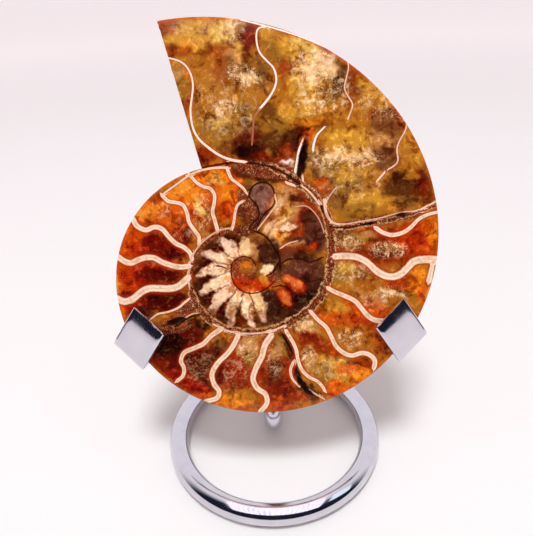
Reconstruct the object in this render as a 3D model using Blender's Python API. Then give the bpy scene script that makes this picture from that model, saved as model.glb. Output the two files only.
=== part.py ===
"""Half of a sawn and polished ammonite on a small chromed stand.

The fossil leans back with its polished face towards -Y. A ring lies on the table, a bent rod
runs in from the ring's back and rises behind the fossil, and two flat arms come down from the
rod's top, follow the shell and fold round its rim in short lips.

Metres, +Z up, origin under the middle of the whole object. The leaning face has coordinates of
its own: across (along +X), up (along the face, from the table) and back (square to the face,
into the shell).
"""

import math

import bmesh
import bpy
import numpy as np
from mathutils import Matrix, Vector, noise

GAP = 0.0003

# Stand
RING_RADIUS = 0.02725
RING_STEPS = 64
ROD_RADIUS = 0.00265
ROD_SIDES = 12
ELBOW_CORNER_Y = -0.0024
ELBOW_RADIUS = 0.0045
ELBOW_STEPS = 8
ROD_LIFT = 0.0002
APEX_UP = 0.0908
POST_ABOVE_APEX = 0.005
POST_DOME = (math.radians(25), math.radians(50), math.radians(72))
ARM_SPREAD = math.radians(34.0)
ARM_WIDTH = 0.0100
ARM_CUT = math.radians(46.5)
ARM_THICKNESS = 0.0012
ARM_STATIONS = 60
LIP_ACROSS = 0.0291
LIP_REACH = 0.0114
LIP_BEND = 0.0019
HOOK_DEPTH = 0.0056
BEND_STEPS = 6
EDGE_ROUND = 0.0003

# Fossil: where it sits and how its whorls grow
LEAN = math.radians(22.0)
FACE_FOOT_Y = -0.0206
HUB_ACROSS = -0.0058
HUB_UP = 0.0595
MOUTH_ANGLE = math.radians(110.3)
MOUTH_SLANT = math.radians(6.1)
RIM_AT_MOUTH = 0.0607
WHORL_GROWTH = 2.362
RIM_TILT = 0.0157
RIM_SIDE = -0.013
RIM_OVAL = 0.0151
UMBILICUS = 0.24
HALF_THICKNESS = 0.0137
UMBILICUS_FLOOR = 0.0020
SHOULDER = 0.17
FLANK_POWER = 2.2
FLANK_ROUND = 0.55
RIBS = 20
RIB_HEIGHT = 0.00035
RIB_SWEEP = 2.7
RIB_FADE = 0.2

# Fossil: mesh lines, as fractions of the rim's radius, repeated for each whorl inwards
COLUMNS = 96
RIM_LINES = (1.0, 0.985, 0.945, 0.88, 0.79, 0.68, UMBILICUS * WHORL_GROWTH)
WHORL_LINES = len(RIM_LINES)
SEAM_LINE = WHORL_LINES + WHORL_LINES - 1
LAST_LINE = SEAM_LINE + 2 * WHORL_LINES

# Open vugs in the polished face: across and up from the hub, length, width, depth, turn
VUGS = (
    (0.0150, 0.0256, 0.0085, 0.0025, 0.0022, 79.0),
    (0.0154, -0.0280, 0.0095, 0.0045, 0.0026, -53.0),
    (0.0335, 0.0110, 0.0120, 0.0021, 0.0016, 9.0),
    (-0.0172, -0.0125, 0.0080, 0.0030, 0.0016, 17.0),
)
VUG_ROUGHNESS = 0.35


def clear_scene():
    for item in list(bpy.data.objects):
        bpy.data.objects.remove(item)


def material(name, colour, roughness, metallic):
    made = bpy.data.materials.new(name)
    made.use_nodes = True
    shader = made.node_tree.nodes["Principled BSDF"]
    shader.inputs["Base Color"].default_value = (*colour, 1.0)
    shader.inputs["Roughness"].default_value = roughness
    shader.inputs["Metallic"].default_value = metallic
    return made


def make_object(name, bm, finish):
    """An object from a closed bmesh, its faces turned outwards and its round parts smooth."""
    bm.normal_update()
    bmesh.ops.recalc_face_normals(bm, faces=bm.faces)
    mesh = bpy.data.meshes.new(name)
    bm.to_mesh(mesh)
    bm.free()
    mesh.materials.append(finish)
    mesh.shade_smooth()
    mesh.set_sharp_from_angle(angle=math.radians(35))
    made = bpy.data.objects.new(name, mesh)
    bpy.context.collection.objects.link(made)
    return made


def on_face(across, up, back):
    """A point of the leaning face in the frame of the pieces that lie on it: +Z towards -Y."""
    return Vector((across, up, -back))


def lean_back(piece):
    """Turns a piece made in the face's frame to the face's place over the table."""
    piece.location = (0, FACE_FOOT_Y, 0)
    piece.rotation_euler = (math.pi / 2 - LEAN, 0, 0)
    return piece


def rim_radius(angle, turn):
    """Distance from the hub to the rim: a log spiral, drawn out a little upwards and sideways."""
    wobble = 1 + RIM_TILT * np.sin(angle) + RIM_SIDE * np.cos(angle) + RIM_OVAL * np.cos(2 * angle)
    return RIM_AT_MOUTH * WHORL_GROWTH**turn * wobble


def mouth_offset(shares):
    """Angle by which the straight cut of the mouth falls behind the radial line through its foot."""
    aside = math.sin(MOUTH_SLANT) / np.maximum(shares * WHORL_GROWTH, 1)
    return np.arcsin(aside) - MOUTH_SLANT


def flank(inward):
    """Height of the flank over the face, 1 at its thickest: inward is 0 at the seam, 1 at the rim."""
    fall = (1 - np.clip(inward, 0, 1) ** FLANK_POWER) ** FLANK_ROUND
    inner = (UMBILICUS * WHORL_GROWTH - UMBILICUS) / (1 - UMBILICUS)
    seam = (1 - inner**FLANK_POWER) ** FLANK_ROUND / WHORL_GROWTH
    rise = np.sqrt(1 - (1 - np.clip(inward / SHOULDER, 0, 1)) ** 2)
    return fall * (seam + (1 - seam) * rise)


def back_height(radius, angle):
    """Height of the shell's back over the face at a place given from the hub."""
    turn = np.mod((angle - MOUTH_ANGLE) / math.tau, 1.0) - 1.0
    rim = rim_radius(angle, turn)
    share = radius / rim
    inside = np.log(UMBILICUS / share) / math.log(WHORL_GROWTH)
    whorl = np.where(share < UMBILICUS - 1e-9, np.ceil(inside), 0)
    inward = (share * WHORL_GROWTH**whorl - UMBILICUS) / (1 - UMBILICUS)
    size = WHORL_GROWTH ** (turn - whorl)
    bend = RIB_SWEEP * np.sin(math.pi * inward)
    rib = 0.5 + 0.5 * np.cos(RIBS * (angle - MOUTH_ANGLE) + bend)
    fade = np.clip(inward / RIB_FADE, 0, 1) * np.clip((1 - inward) / RIB_FADE, 0, 1)
    height = size * (HALF_THICKNESS * flank(inward) - RIB_HEIGHT * rib * fade)
    return np.where(share >= 1, 0.0, np.maximum(height, UMBILICUS_FLOOR))


def add_shell_faces(bm, ids, verts):
    """Quads of the back, then the flat plug of the umbilicus, the mouth and the polished face."""
    for column in range(COLUMNS):
        for line in range(LAST_LINE):
            corners = ids[column : column + 2, line : line + 2].ravel()[[0, 1, 3, 2]]
            bm.faces.new([verts[i] for i in corners])
    step = LAST_LINE - WHORL_LINES
    plug = list(ids[:, LAST_LINE]) + list(ids[0, step + 1 : LAST_LINE])
    mouth = list(ids[COLUMNS, : SEAM_LINE + 1]) + list(ids[0, : SEAM_LINE - WHORL_LINES][::-1])
    for outline in (plug, mouth, ids[:, 0]):
        bm.faces.new([verts[i] for i in outline])


def shell_body():
    """The half shell as one closed mesh on a spiral grid.

    Column lines run out from the hub, one turn of them from behind the mouth round to the mouth.
    They turn bit by bit from radial to the slant of the mouth's cut. Cross lines are spirals, so
    line n of the last column meets line n - WHORL_LINES of the first.
    """
    shares = [share / WHORL_GROWTH**whorl for whorl in range(4) for share in RIM_LINES]
    shares = np.array(shares[: LAST_LINE + 1])
    turn = np.linspace(-1, 0, COLUMNS + 1)[:, None]
    angle = MOUTH_ANGLE + math.tau * turn + (1 + turn) * mouth_offset(shares)
    radius = rim_radius(angle, (angle - MOUTH_ANGLE) / math.tau) * shares
    height = back_height(radius, angle + 1e-7 * (turn < -0.5) - 1e-7 * (turn >= -0.5))
    height[:, 0] = 0.0
    ids = np.arange(radius.size).reshape(radius.shape)
    ids[COLUMNS, SEAM_LINE:] = ids[0, SEAM_LINE - WHORL_LINES : LAST_LINE + 1 - WHORL_LINES]
    across = HUB_ACROSS + radius * np.cos(angle)
    up = HUB_UP + radius * np.sin(angle)
    bm = bmesh.new()
    places = zip(across.ravel(), up.ravel(), height.ravel())
    verts = [bm.verts.new(on_face(*place)) for place in places]
    add_shell_faces(bm, ids, verts)
    loose = [vert for vert in bm.verts if not vert.link_faces]
    bmesh.ops.delete(bm, geom=loose, context="VERTS")
    return bm


def vug_cutter(number, across, up, length, width, depth, turn):
    """A rough lump whose middle lies on the face, so that its back half hollows a vug."""
    bm = bmesh.new()
    bmesh.ops.create_icosphere(bm, subdivisions=2, radius=1.0)
    turn = math.radians(turn)
    for vert in bm.verts:
        rough = 1 + VUG_ROUGHNESS * noise.noise(vert.co * 1.7 + Vector((number * 7.3, 0, 0)))
        along = vert.co.x * length / 2 * rough
        aside = vert.co.y * width / 2 * rough
        right = HUB_ACROSS + across + along * math.cos(turn) - aside * math.sin(turn)
        over = HUB_UP + up + along * math.sin(turn) + aside * math.cos(turn)
        vert.co = on_face(right, over, vert.co.z * depth * rough)
    cutter = lean_back(make_object(f"vug_cutter_{number}", bm, bpy.data.materials["polished fossil"]))
    cutter.hide_render = True
    cutter.display_type = "WIRE"
    return cutter


def ammonite_half(finish):
    shell = lean_back(make_object("ammonite_half", shell_body(), finish))
    for number, vug in enumerate(VUGS):
        cut = shell.modifiers.new(f"vug {number}", "BOOLEAN")
        cut.operation = "DIFFERENCE"
        cut.solver = "EXACT"
        cut.object = vug_cutter(number, *vug)
    return shell


def loft(sections, closed=False):
    """A solid through a row of like outlines, with flat ends unless the row closes on itself."""
    bm = bmesh.new()
    rows = [[bm.verts.new(point) for point in section] for section in sections]
    pairs = list(zip(rows, rows[1:] + rows[:1])) if closed else list(zip(rows, rows[1:]))
    for one, two in pairs:
        for i in range(len(one)):
            j = (i + 1) % len(one)
            bm.faces.new((one[i], one[j], two[j], two[i]))
    if not closed:
        bm.faces.new(rows[0])
        bm.faces.new(rows[-1])
    return bm


def rod_section(centre, side, over, radius):
    """A polygon round the rod with a flat side facing straight down."""
    points = []
    for i in range(ROD_SIDES):
        a = math.tau * (i + 0.5) / ROD_SIDES
        points.append(centre + radius * (math.sin(a) * side + math.cos(a) * over))
    return points


def base_ring(finish):
    """The rod bent into a ring on the table; its lowest facet lies flat on it."""
    up = Vector((0, 0, 1))
    height = ROD_RADIUS * math.cos(math.pi / ROD_SIDES)
    sections = []
    for i in range(RING_STEPS):
        a = math.tau * i / RING_STEPS
        out = Vector((math.cos(a), math.sin(a), 0))
        sections.append(rod_section(out * RING_RADIUS + up * height, out, up, ROD_RADIUS))
    return make_object("base_ring", loft(sections, closed=True), finish)


def post_path():
    """Centre line of the post: in along the table, round the elbow, up to the arms."""
    corner = Vector((0, ELBOW_CORNER_Y, ROD_RADIUS + ROD_LIFT))
    back = ARM_LEVEL + ARM_THICKNESS / 2 + GAP + ROD_RADIUS
    face = Matrix.Translation((0, FACE_FOOT_Y, 0)) @ Matrix.Rotation(math.pi / 2 - LEAN, 4, "X")
    top = face @ on_face(0, APEX_UP, back)
    inward = Vector((0, 1, 0))
    rise = (top - corner).normalized()
    turn = math.pi - rise.angle(inward)
    tangent = ELBOW_RADIUS * math.tan(turn / 2)
    middle = (inward + rise).normalized()
    centre = corner + middle * (ELBOW_RADIUS / math.cos(turn / 2))
    first = (corner + inward * tangent - centre) / ELBOW_RADIUS
    last = (corner + rise * tangent - centre) / ELBOW_RADIUS
    start_y = RING_RADIUS - ROD_RADIUS - GAP
    path = [Vector((0, start_y, corner.z))]
    for i in range(ELBOW_STEPS + 1):
        t = i / ELBOW_STEPS
        arc = (math.sin((1 - t) * turn) * first + math.sin(t * turn) * last) / math.sin(turn)
        path.append(centre + ELBOW_RADIUS * arc)
    path.append(top + rise * POST_ABOVE_APEX)
    return path


def post(finish):
    """The bent rod, with a rounded top."""
    path = post_path()
    side = Vector((1, 0, 0))
    sections = []
    for before, here, after in zip(path[:1] + path, path, path[1:] + path[-1:]):
        along = (after - before).normalized()
        sections.append(rod_section(here, side, along.cross(side), ROD_RADIUS))
    rise = (path[-1] - path[-2]).normalized()
    for a in POST_DOME:
        centre = path[-1] + rise * ROD_RADIUS * math.sin(a)
        sections.append(rod_section(centre, side, rise.cross(side), ROD_RADIUS * math.cos(a)))
    return make_object("post", loft(sections), finish)


ARM_LEVEL = HALF_THICKNESS + GAP + ARM_THICKNESS / 2
TIP = LIP_ACROSS / math.sin(ARM_SPREAD)


def arm_point(hand, along, aside):
    """Across and up of a point on an arm: along from the apex, aside over the width (-0.5 to 0.5)."""
    across = math.sin(ARM_SPREAD) * along - aside * ARM_WIDTH * math.cos(ARM_CUT)
    up = APEX_UP - math.cos(ARM_SPREAD) * along - aside * ARM_WIDTH * math.sin(ARM_CUT)
    return hand * across, up


def shell_under(hand, along):
    """The shell's greatest height under the arm's width."""
    tops = []
    for aside in np.linspace(-0.55, 0.55, 9):
        across, up = arm_point(hand, along, aside)
        across -= HUB_ACROSS
        up -= HUB_UP
        angle = math.atan2(up, across)
        tops.append(float(back_height(np.array(math.hypot(across, up)), np.array(angle))))
    return max(tops)


def arm_line(hand):
    """Centre line of an arm as (along, back): laid straight over the shell's high places, then
    folded round the rim and back over the face."""
    level = GAP + ARM_THICKNESS / 2
    end = TIP + LIP_REACH - ARM_THICKNESS / 2
    last = end - LIP_BEND
    stations = np.linspace(0, last, ARM_STATIONS)
    needed = [shell_under(hand, along) + level for along in stations]
    needed[0] = ARM_LEVEL
    needed[-1] = max(needed[-1], HOOK_DEPTH - level)
    laid = [0]
    for i in range(1, ARM_STATIONS):
        while len(laid) > 1 and hangs(stations, needed, laid[-2], laid[-1], i):
            laid.pop()
        laid.append(i)
    line = [(stations[i], needed[i]) for i in laid]
    behind = needed[-1]
    for i in range(1, BEND_STEPS + 1):
        a = math.pi / 2 * i / BEND_STEPS
        line.append((last + LIP_BEND * math.sin(a), behind - LIP_BEND * (1 - math.cos(a))))
    for i in range(BEND_STEPS + 1):
        a = math.pi / 2 * i / BEND_STEPS
        line.append((last + LIP_BEND * math.cos(a), -level + LIP_BEND * (1 - math.sin(a))))
    line.append((TIP, -level))
    return line


def hangs(stations, needed, one, two, three):
    """True where the middle place lies at or under the straight line between its neighbours."""
    slope = (needed[three] - needed[one]) / (stations[three] - stations[one])
    return needed[two] <= needed[one] + slope * (stations[two] - stations[one])


def arm(name, hand, finish):
    """A flat strip along the arm's line: its sides run with the arm, its lip is cut across them at
    a slant, and at the apex it is cut upright to meet the other arm."""
    line = arm_line(hand)
    sections = []
    for i, (along, back) in enumerate(line):
        before = line[max(i - 1, 0)]
        after = line[min(i + 1, len(line) - 1)]
        step = np.hypot(after[0] - before[0], after[1] - before[1])
        normal = ((after[1] - before[1]) / step, -(after[0] - before[0]) / step)
        section = []
        for aside, over in strip_outline():
            start = along
            if i == 0:
                start = (GAP / 2 + aside * ARM_WIDTH * math.cos(ARM_CUT)) / math.sin(ARM_SPREAD)
            across, up = arm_point(hand, start + normal[0] * over, aside)
            section.append(on_face(across, up, back + normal[1] * over))
        sections.append(section)
    return lean_back(make_object(name, loft(sections), finish))


def strip_outline():
    """The strip's cross-section with its edges taken off, as (share of width, thickness)."""
    side = 0.5 - EDGE_ROUND / ARM_WIDTH
    half = ARM_THICKNESS / 2
    low = half - EDGE_ROUND
    return (
        (-side, -half), (side, -half), (0.5, -low), (0.5, low),
        (side, half), (-side, half), (-0.5, low), (-0.5, -low),
    )


def stand_on_origin(pieces):
    """Moves every piece so that the origin lies under the middle of them all."""
    bpy.context.view_layer.update()
    points = [piece.matrix_world @ vert.co for piece in pieces for vert in piece.data.vertices]
    low = [min(point[axis] for point in points) for axis in range(3)]
    high = [max(point[axis] for point in points) for axis in range(3)]
    shift = Vector((-(low[0] + high[0]) / 2, -(low[1] + high[1]) / 2, -low[2]))
    for item in bpy.data.objects:
        item.location += shift
    return shift


def main():
    clear_scene()
    chrome = material("chrome", (0.80, 0.79, 0.82), 0.08, 1.0)
    stone = material("polished fossil", (0.55, 0.24, 0.06), 0.18, 0.0)
    pieces = [
        ammonite_half(stone),
        base_ring(chrome),
        post(chrome),
        arm("arm_left", -1, chrome),
        arm("arm_right", 1, chrome),
    ]
    shift = stand_on_origin(pieces)
    print("ring centre now at", tuple(round(value, 5) for value in shift))


main()
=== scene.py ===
"""Looks of a sawn and polished ammonite half on a small chromed stand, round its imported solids.

Metres, +Z up, the viewer at -Y. The polished face leans back. It has coordinates of its own:
across (along +X), up (along the face, from the table) and depth (square to the face, into the
shell). The markings of the face are given in pixels of the picture and reach the face through
the camera.
"""

import math

import bpy
import numpy as np
from mathutils import Matrix, Vector


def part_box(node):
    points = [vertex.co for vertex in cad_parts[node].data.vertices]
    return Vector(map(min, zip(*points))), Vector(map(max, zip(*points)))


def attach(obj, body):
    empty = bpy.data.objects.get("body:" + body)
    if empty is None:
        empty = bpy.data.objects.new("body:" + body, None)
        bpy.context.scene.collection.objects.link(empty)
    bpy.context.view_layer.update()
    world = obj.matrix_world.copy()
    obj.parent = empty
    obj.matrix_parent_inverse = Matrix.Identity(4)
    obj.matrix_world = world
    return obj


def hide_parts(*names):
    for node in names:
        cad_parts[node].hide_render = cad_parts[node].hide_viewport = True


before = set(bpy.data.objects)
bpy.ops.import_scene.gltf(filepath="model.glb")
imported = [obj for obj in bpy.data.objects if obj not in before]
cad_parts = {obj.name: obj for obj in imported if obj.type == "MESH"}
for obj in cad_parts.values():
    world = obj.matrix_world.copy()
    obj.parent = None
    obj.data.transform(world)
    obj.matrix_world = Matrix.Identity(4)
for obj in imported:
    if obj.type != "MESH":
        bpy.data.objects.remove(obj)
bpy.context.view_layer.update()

MM = 0.001
TURN = math.tau

# The fossil's place and growth, as in the solids
LEAN = math.radians(22.0)
FACE_FOOT_Y = -20.6 * MM
HUB_ACROSS = -5.8 * MM
HUB_UP = 59.5 * MM
MOUTH_ANGLE = math.radians(110.3)
MOUTH_SLANT = math.radians(6.1)
RIM_AT_MOUTH = 60.7 * MM
WHORL_GROWTH = 2.362
RIM_TILT = 0.0157
RIM_SIDE = -0.013
RIM_OVAL = 0.0151
UMBILICUS = 0.24
HALF_THICKNESS = 13.7 * MM
UMBILICUS_FLOOR = 2.0 * MM
SHOULDER = 0.17
FLANK_POWER = 2.2
FLANK_ROUND = 0.55
RIBS = 20
RIB_SWEEP = 2.7
RIB_FADE = 0.2

# Depth of the grooves between the ribs, more than in the solid so that they show
RIB_HEIGHT = 0.6 * MM

# The stand, as in the solids
GAP = 0.3 * MM
RING_RADIUS = 27.25 * MM
ROD_RADIUS = 2.65 * MM
ROD_FLAT = math.cos(math.pi / 12)
ELBOW_CORNER_Y = -2.4 * MM
ELBOW_RADIUS = 4.5 * MM
ROD_LIFT = 0.2 * MM
WELD_FLARE = 0.1
WELD_FADE = 1.2 * MM
APEX_UP = 90.8 * MM
POST_ABOVE_APEX = 5.0 * MM
ARM_SPREAD = math.radians(34.0)
ARM_WIDTH = 10.0 * MM
ARM_CUT = math.radians(46.5)
ARM_THICKNESS = 1.2 * MM
ARM_ROUND_OFF = 0.5 * MM
ARM_LEVEL = HALF_THICKNESS + GAP + ARM_THICKNESS / 2
LIP_ACROSS = 29.1 * MM
TIP = LIP_ACROSS / math.sin(ARM_SPREAD)
LIP_REACH = 11.4 * MM
LIP_BEND = 1.9 * MM
LIP_OPENS = 0.17
LIP_CLOSES = 0.05
LIP_RAGGED = 0.12 * MM
LIP_TRIMS = (0.12 * MM, 0.28 * MM)
HOOK_DEPTH = 5.6 * MM

# Window over the table: the near and far corners of its panes, in metres, the bars across the
# first pane, its glow, and the colours of glass, bar and second pane
WINDOW_HEIGHT = 0.8
WINDOW_PANES = (
    ((-0.70, -0.80), (0.70, -0.80), (-0.07, 0.50), (0.07, 0.50)),
    ((0.66, -0.48), (1.60, -0.55), (0.34, 0.06), (0.80, -0.06)),
)
WINDOW_BARS = 10
WINDOW_GLOW = 1.7
GLASS = (1.0, 0.98, 1.0)
BAR = (0.05, 0.03, 0.16)
BLUE_PANE = (0.20, 0.36, 0.42)

# Lamp: place and size in metres, power in watts, colour
LAMP_PLACE = (-0.05, -0.285, 1.08)
LAMP_AIM = (0.0, 0.0, 0.03)
LAMP_SIZE = 0.28
LAMP_POWER = 7.7
LAMP_COLOUR = (0.97, 1.0, 1.0)

# Room: its even light, what the camera sees of it, and its dark and pale parts in the plate
ROOM_LIGHT = (0.60, 0.52, 0.525)
ROOM_SEEN = (0.90, 0.81, 0.84)
ROOM_DARK = (0.012, 0.014, 0.03)
ROOM_PALE = (0.95, 0.92, 0.97)

# Table: radii of its rings in metres, sides, colours near and far, and how far it fades, in mm
TABLE_RINGS = (0.1, 0.4, 1.5, 6.0, 25.0)
TABLE_SIDES = 96
TABLE_DROP = 0.03 * MM
TABLE_NEAR = (0.87, 0.865, 0.87)
TABLE_NEAR_PALE = (0.885, 0.88, 0.885)
TABLE_FAR = (0.80, 0.73, 0.755)
TABLE_FAR_GLOW = (0.36, 0.35, 0.355)
TABLE_FADE = 1500.0

# Camera
PICTURE_WIDTH = 533
PICTURE_HEIGHT = 536
FOCAL_PIXELS = 500.0
CAMERA_FROM_RING = np.array([1.3, -104.4, 114.2]) * MM
CAMERA_PITCH = math.radians(29.1)
CAMERA_YAW = math.radians(-0.83)
CAMERA_ROLL = math.radians(-2.35)

ring_low, ring_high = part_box("base_ring")
RING_CENTRE = np.array([(ring_low.x + ring_high.x) / 2, (ring_low.y + ring_high.y) / 2, 0.0])
FACE_FOOT = RING_CENTRE + np.array([0.0, FACE_FOOT_Y, 0.0])
FACE_ACROSS = np.array([1.0, 0.0, 0.0])
FACE_UP = np.array([0.0, math.sin(LEAN), math.cos(LEAN)])
FACE_OUT = np.array([0.0, -math.cos(LEAN), math.sin(LEAN)])

# Minerals of the fossil by the colour they show, red, green and blue out of 255
MINERALS = {
    "white": (250, 240, 232),
    "bone": (240, 216, 188),
    "cream": (232, 202, 160),
    "shell": (205, 170, 158),
    "tan": (190, 148, 100),
    "straw": (214, 182, 104),
    "gold": (198, 155, 66),
    "honey": (168, 118, 45),
    "olive": (142, 111, 50),
    "moss": (118, 90, 54),
    "amber": (224, 140, 34),
    "orange": (204, 98, 18),
    "fire": (178, 60, 10),
    "rust": (140, 58, 18),
    "sienna": (112, 34, 10),
    "garnet": (144, 30, 6),
    "oxblood": (82, 16, 5),
    "umber": (72, 42, 24),
    "dark": (28, 10, 5),
    "mauve": (122, 94, 92),
    "plum": (92, 58, 50),
    "slate": (62, 38, 30),
    "salmon": (204, 116, 66),
}

# Pale lines: width in pixels at both ends, tone (0 brown, 0.98 bone, 1 plain white), points
PALE_LINES = (
    (1.5, 2.6, 0.99, ((164, 57), (178, 60.5), (186, 66), (191, 75), (193, 86), (191.5, 100),
         (190.5, 112), (193, 128), (199, 139), (209, 148), (220, 155.5), (232, 160), (245, 162))),
    (1.4, 2.3, 1.0, ((268, 26.5), (259, 28), (256.5, 33), (257, 44), (260, 53), (266.5, 60.5),
         (273.5, 68), (276.3, 78), (274.5, 88), (268, 99), (260, 108.5))),
    (2.0, 1.8, 0.12, ((260, 108.5), (254.5, 117), (253, 130), (252, 144))),
    (1.0, 1.5, 0.85, ((345, 56), (348.5, 66), (346.5, 77), (344.5, 88), (348, 96), (352.5, 104),
         (351, 111), (348, 118.5))),
    (1.2, 1.5, 0.85, ((407, 120), (405.5, 130), (400, 140), (397, 149), (398, 160), (395, 165),
         (388, 169.5))),
    (2.0, 1.8, 0.95, ((384.5, 172.5), (377, 181))),
    (1.6, 2.4, 1.0, ((324.5, 127), (317, 135), (314, 143), (313, 150))),
    (1.8, 2.6, 1.0, ((303, 140), (299, 150), (297, 162), (295.5, 171))),
    (1.8, 2.2, 0.8, ((302, 173), (303, 180))),
    (0.9, 1.2, 0.7, ((336.5, 187), (331, 194), (327, 201), (326.5, 208))),
    (3.0, 1.8, 0.85, ((324.5, 201), (325.5, 210), (328, 217), (332, 222), (338, 224.5))),
    (1.3, 1.0, 0.7, ((330, 223), (345, 224), (360, 221.5), (380, 218), (400, 212.5), (418, 210),
         (437, 200))),
    (2.0, 1.2, 0.9, ((420, 210), (428, 205.5), (438, 201))),
    (4.4, 3.0, 0.98, ((376, 228), (383, 232.5), (392, 235), (403, 232.5), (411, 227), (419, 219),
         (428, 214.5), (438, 212))),
    (6.0, 7.2, 0.98, ((335, 256.5), (345, 256), (358, 257.5), (368, 263), (378, 272), (388, 276.5),
         (398, 275.5), (407, 268.5), (413, 262), (422, 259.5), (436, 259.5))),
    (4.0, 5.5, 0.95, ((433, 262), (431, 272), (429, 281))),
    (4.0, 5.0, 0.98, ((328, 288), (335, 292), (345, 296), (355, 301), (362, 309), (368, 316),
         (375, 320), (384, 321))),
    (3.6, 4.6, 0.98, ((310.5, 311.5), (318, 320), (326, 327), (331, 336), (336, 346), (344, 353),
         (352, 355.5), (362, 353), (370, 355), (375, 361), (374, 368))),
    (3.6, 3.0, 0.97, ((286, 331), (291, 339), (296, 349), (298, 360), (302, 370), (309, 377),
         (317, 381), (322, 386), (325, 391))),
    (3.0, 2.0, 0.8, ((293.5, 362), (290.5, 370), (292.5, 379), (299, 386))),
    (1.4, 1.4, 0.7, ((303, 383), (311, 391), (324, 399))),
    (6.0, 4.6, 0.93, ((271, 336), (265, 345), (262, 356), (256, 368), (253, 379), (257, 388),
         (265, 394), (267, 403), (260, 412))),
    (5.0, 4.6, 0.93, ((238, 336), (233, 346), (226, 355), (217, 364), (212, 374), (214, 384),
         (219, 391), (217, 398), (206, 401.5))),
    (5.0, 3.4, 0.82, ((221, 329), (211, 336), (203, 344), (192, 349), (184, 353), (181, 361),
         (184, 368), (183, 376), (177, 381))),
    (1.6, 2.2, 0.9, ((151, 319), (158, 314), (168, 312), (178, 308), (184, 303), (189, 299))),
    (1.2, 1.0, 0.7, ((178, 323), (186, 317.5), (192, 314), (198, 313))),
    (6.5, 6.5, 0.98, ((116, 298), (124, 301.5), (133, 299), (142, 291.5), (150, 288.5), (160, 288.5),
         (170, 288.5), (178, 286.5), (184, 282), (188, 278))),
    (5.5, 5.0, 0.97, ((117, 256), (124, 261), (131, 263), (138, 260), (146, 257.5), (154, 258),
         (162, 262), (170, 265), (180, 267), (189, 266))),
    (5.0, 4.0, 0.97, ((133, 219), (137, 226), (146, 230), (154, 227), (162, 229), (169, 237),
         (176, 243.5), (184, 247.5), (190, 253), (192, 259))),
    (3.6, 3.6, 0.97, ((162, 195), (168, 201), (176, 202.5), (183, 205), (187, 213), (189, 222),
         (195, 231), (199, 237), (199, 244))),
    (3.0, 3.6, 0.97, ((189, 174), (196, 182), (203, 186.5), (210, 188.5), (214.5, 195), (214, 204),
         (212.5, 212), (215, 221), (217.5, 230))),
    (3.4, 2.2, 0.95, ((227, 168), (231, 178), (237, 183), (243, 188), (246.5, 193))),
    (2.4, 2.8, 0.92, ((243, 201), (237.5, 205), (235, 213), (234, 221), (232.5, 228))),
    (1.6, 1.4, 1.0, ((240, 19.5), (262, 25), (282, 30.5), (304, 38), (324, 46.5), (340, 54))),
    (1.6, 2.4, 0.9, ((163, 194), (177, 184), (189, 175.5), (201, 170.5), (214, 168), (228, 167.5))),
    (1.6, 1.5, 0.6, ((233, 228), (222, 229.5), (212, 234.5), (203, 241.5), (196, 250), (190.5, 261),
         (188.8, 274), (189.5, 288))),
    (1.6, 1.8, 0.8, ((214, 324.5), (228, 331), (244, 333.5), (260, 333), (274, 330), (285, 325.5))),
    (1.2, 0.9, 0.5, ((296, 206.5), (306, 206), (314, 212), (320, 221), (324, 232))),
    (1.4, 1.0, 0.75, ((281, 248), (288, 243.5), (297, 241))),
    (1.6, 1.2, 0.8, ((275, 196), (276.5, 204), (271, 212), (264, 221), (258, 229))),
    (2.8, 2.4, 0.97, ((287, 183), (294, 185.5))),
    (1.6, 2.0, 0.9, ((302, 186), (308, 190.5), (314, 197), (319, 204))),
)

# Dark lines: width at both ends, tone (1 black, 0 brown), points
DARK_LINES = (
    (2.4, 2.0, 1.0, ((200, 168.5), (212, 166), (226, 163.5), (240, 162.5), (252, 163))),
    (2.0, 2.6, 0.9, ((252, 163), (268, 166), (283, 172.5), (297, 182), (309, 191), (319, 202),
         (323, 212))),
    (1.8, 1.6, 0.9, ((249, 196), (251, 189), (256, 184), (264, 182.5), (271, 185.5), (274, 192),
         (275, 200), (272, 207), (266, 212), (261, 219), (257, 226))),
    (1.6, 1.8, 0.9, ((249, 197), (254, 202), (258, 208), (259, 216), (255, 221), (250, 227))),
    (1.4, 1.6, 0.9, ((282, 263), (288, 259.5), (296, 258.5), (303, 259.5), (309, 262), (316, 260.5),
         (322, 257.5))),
    (1.2, 1.0, 0.8, ((301, 280), (306, 282.5), (313, 281), (320, 279))),
    (1.4, 1.4, 0.8, ((273, 287), (281, 285.5), (288, 288), (292, 295), (293, 303))),
    (1.4, 1.4, 0.9, ((279, 262), (276, 268), (272, 273), (266, 276))),
    (1.6, 1.2, 1.0, ((217, 266), (221.5, 266.5), (226, 268.5))),
    (1.8, 2.2, 0.9, ((254, 231), (265, 236), (273, 246), (279, 257), (280, 268))),
    (3.0, 1.6, 1.0, ((283.5, 335), (288, 344), (293, 354))),
    (1.4, 1.4, 0.7, ((231, 272), (233, 281), (239, 289), (248, 293), (258, 292.5), (267, 288),
         (274, 282))),
    (1.4, 1.4, 0.7, ((231, 272), (232, 264), (238, 258), (245, 256.5), (252, 259.5), (256, 266))),
    (2.4, 2.0, 1.0, ((176, 326), (184, 320), (192, 316.5), (199, 315))),
    (1.6, 1.2, 0.9, ((330, 226.5), (345, 227.5), (362, 225))),
)

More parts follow.
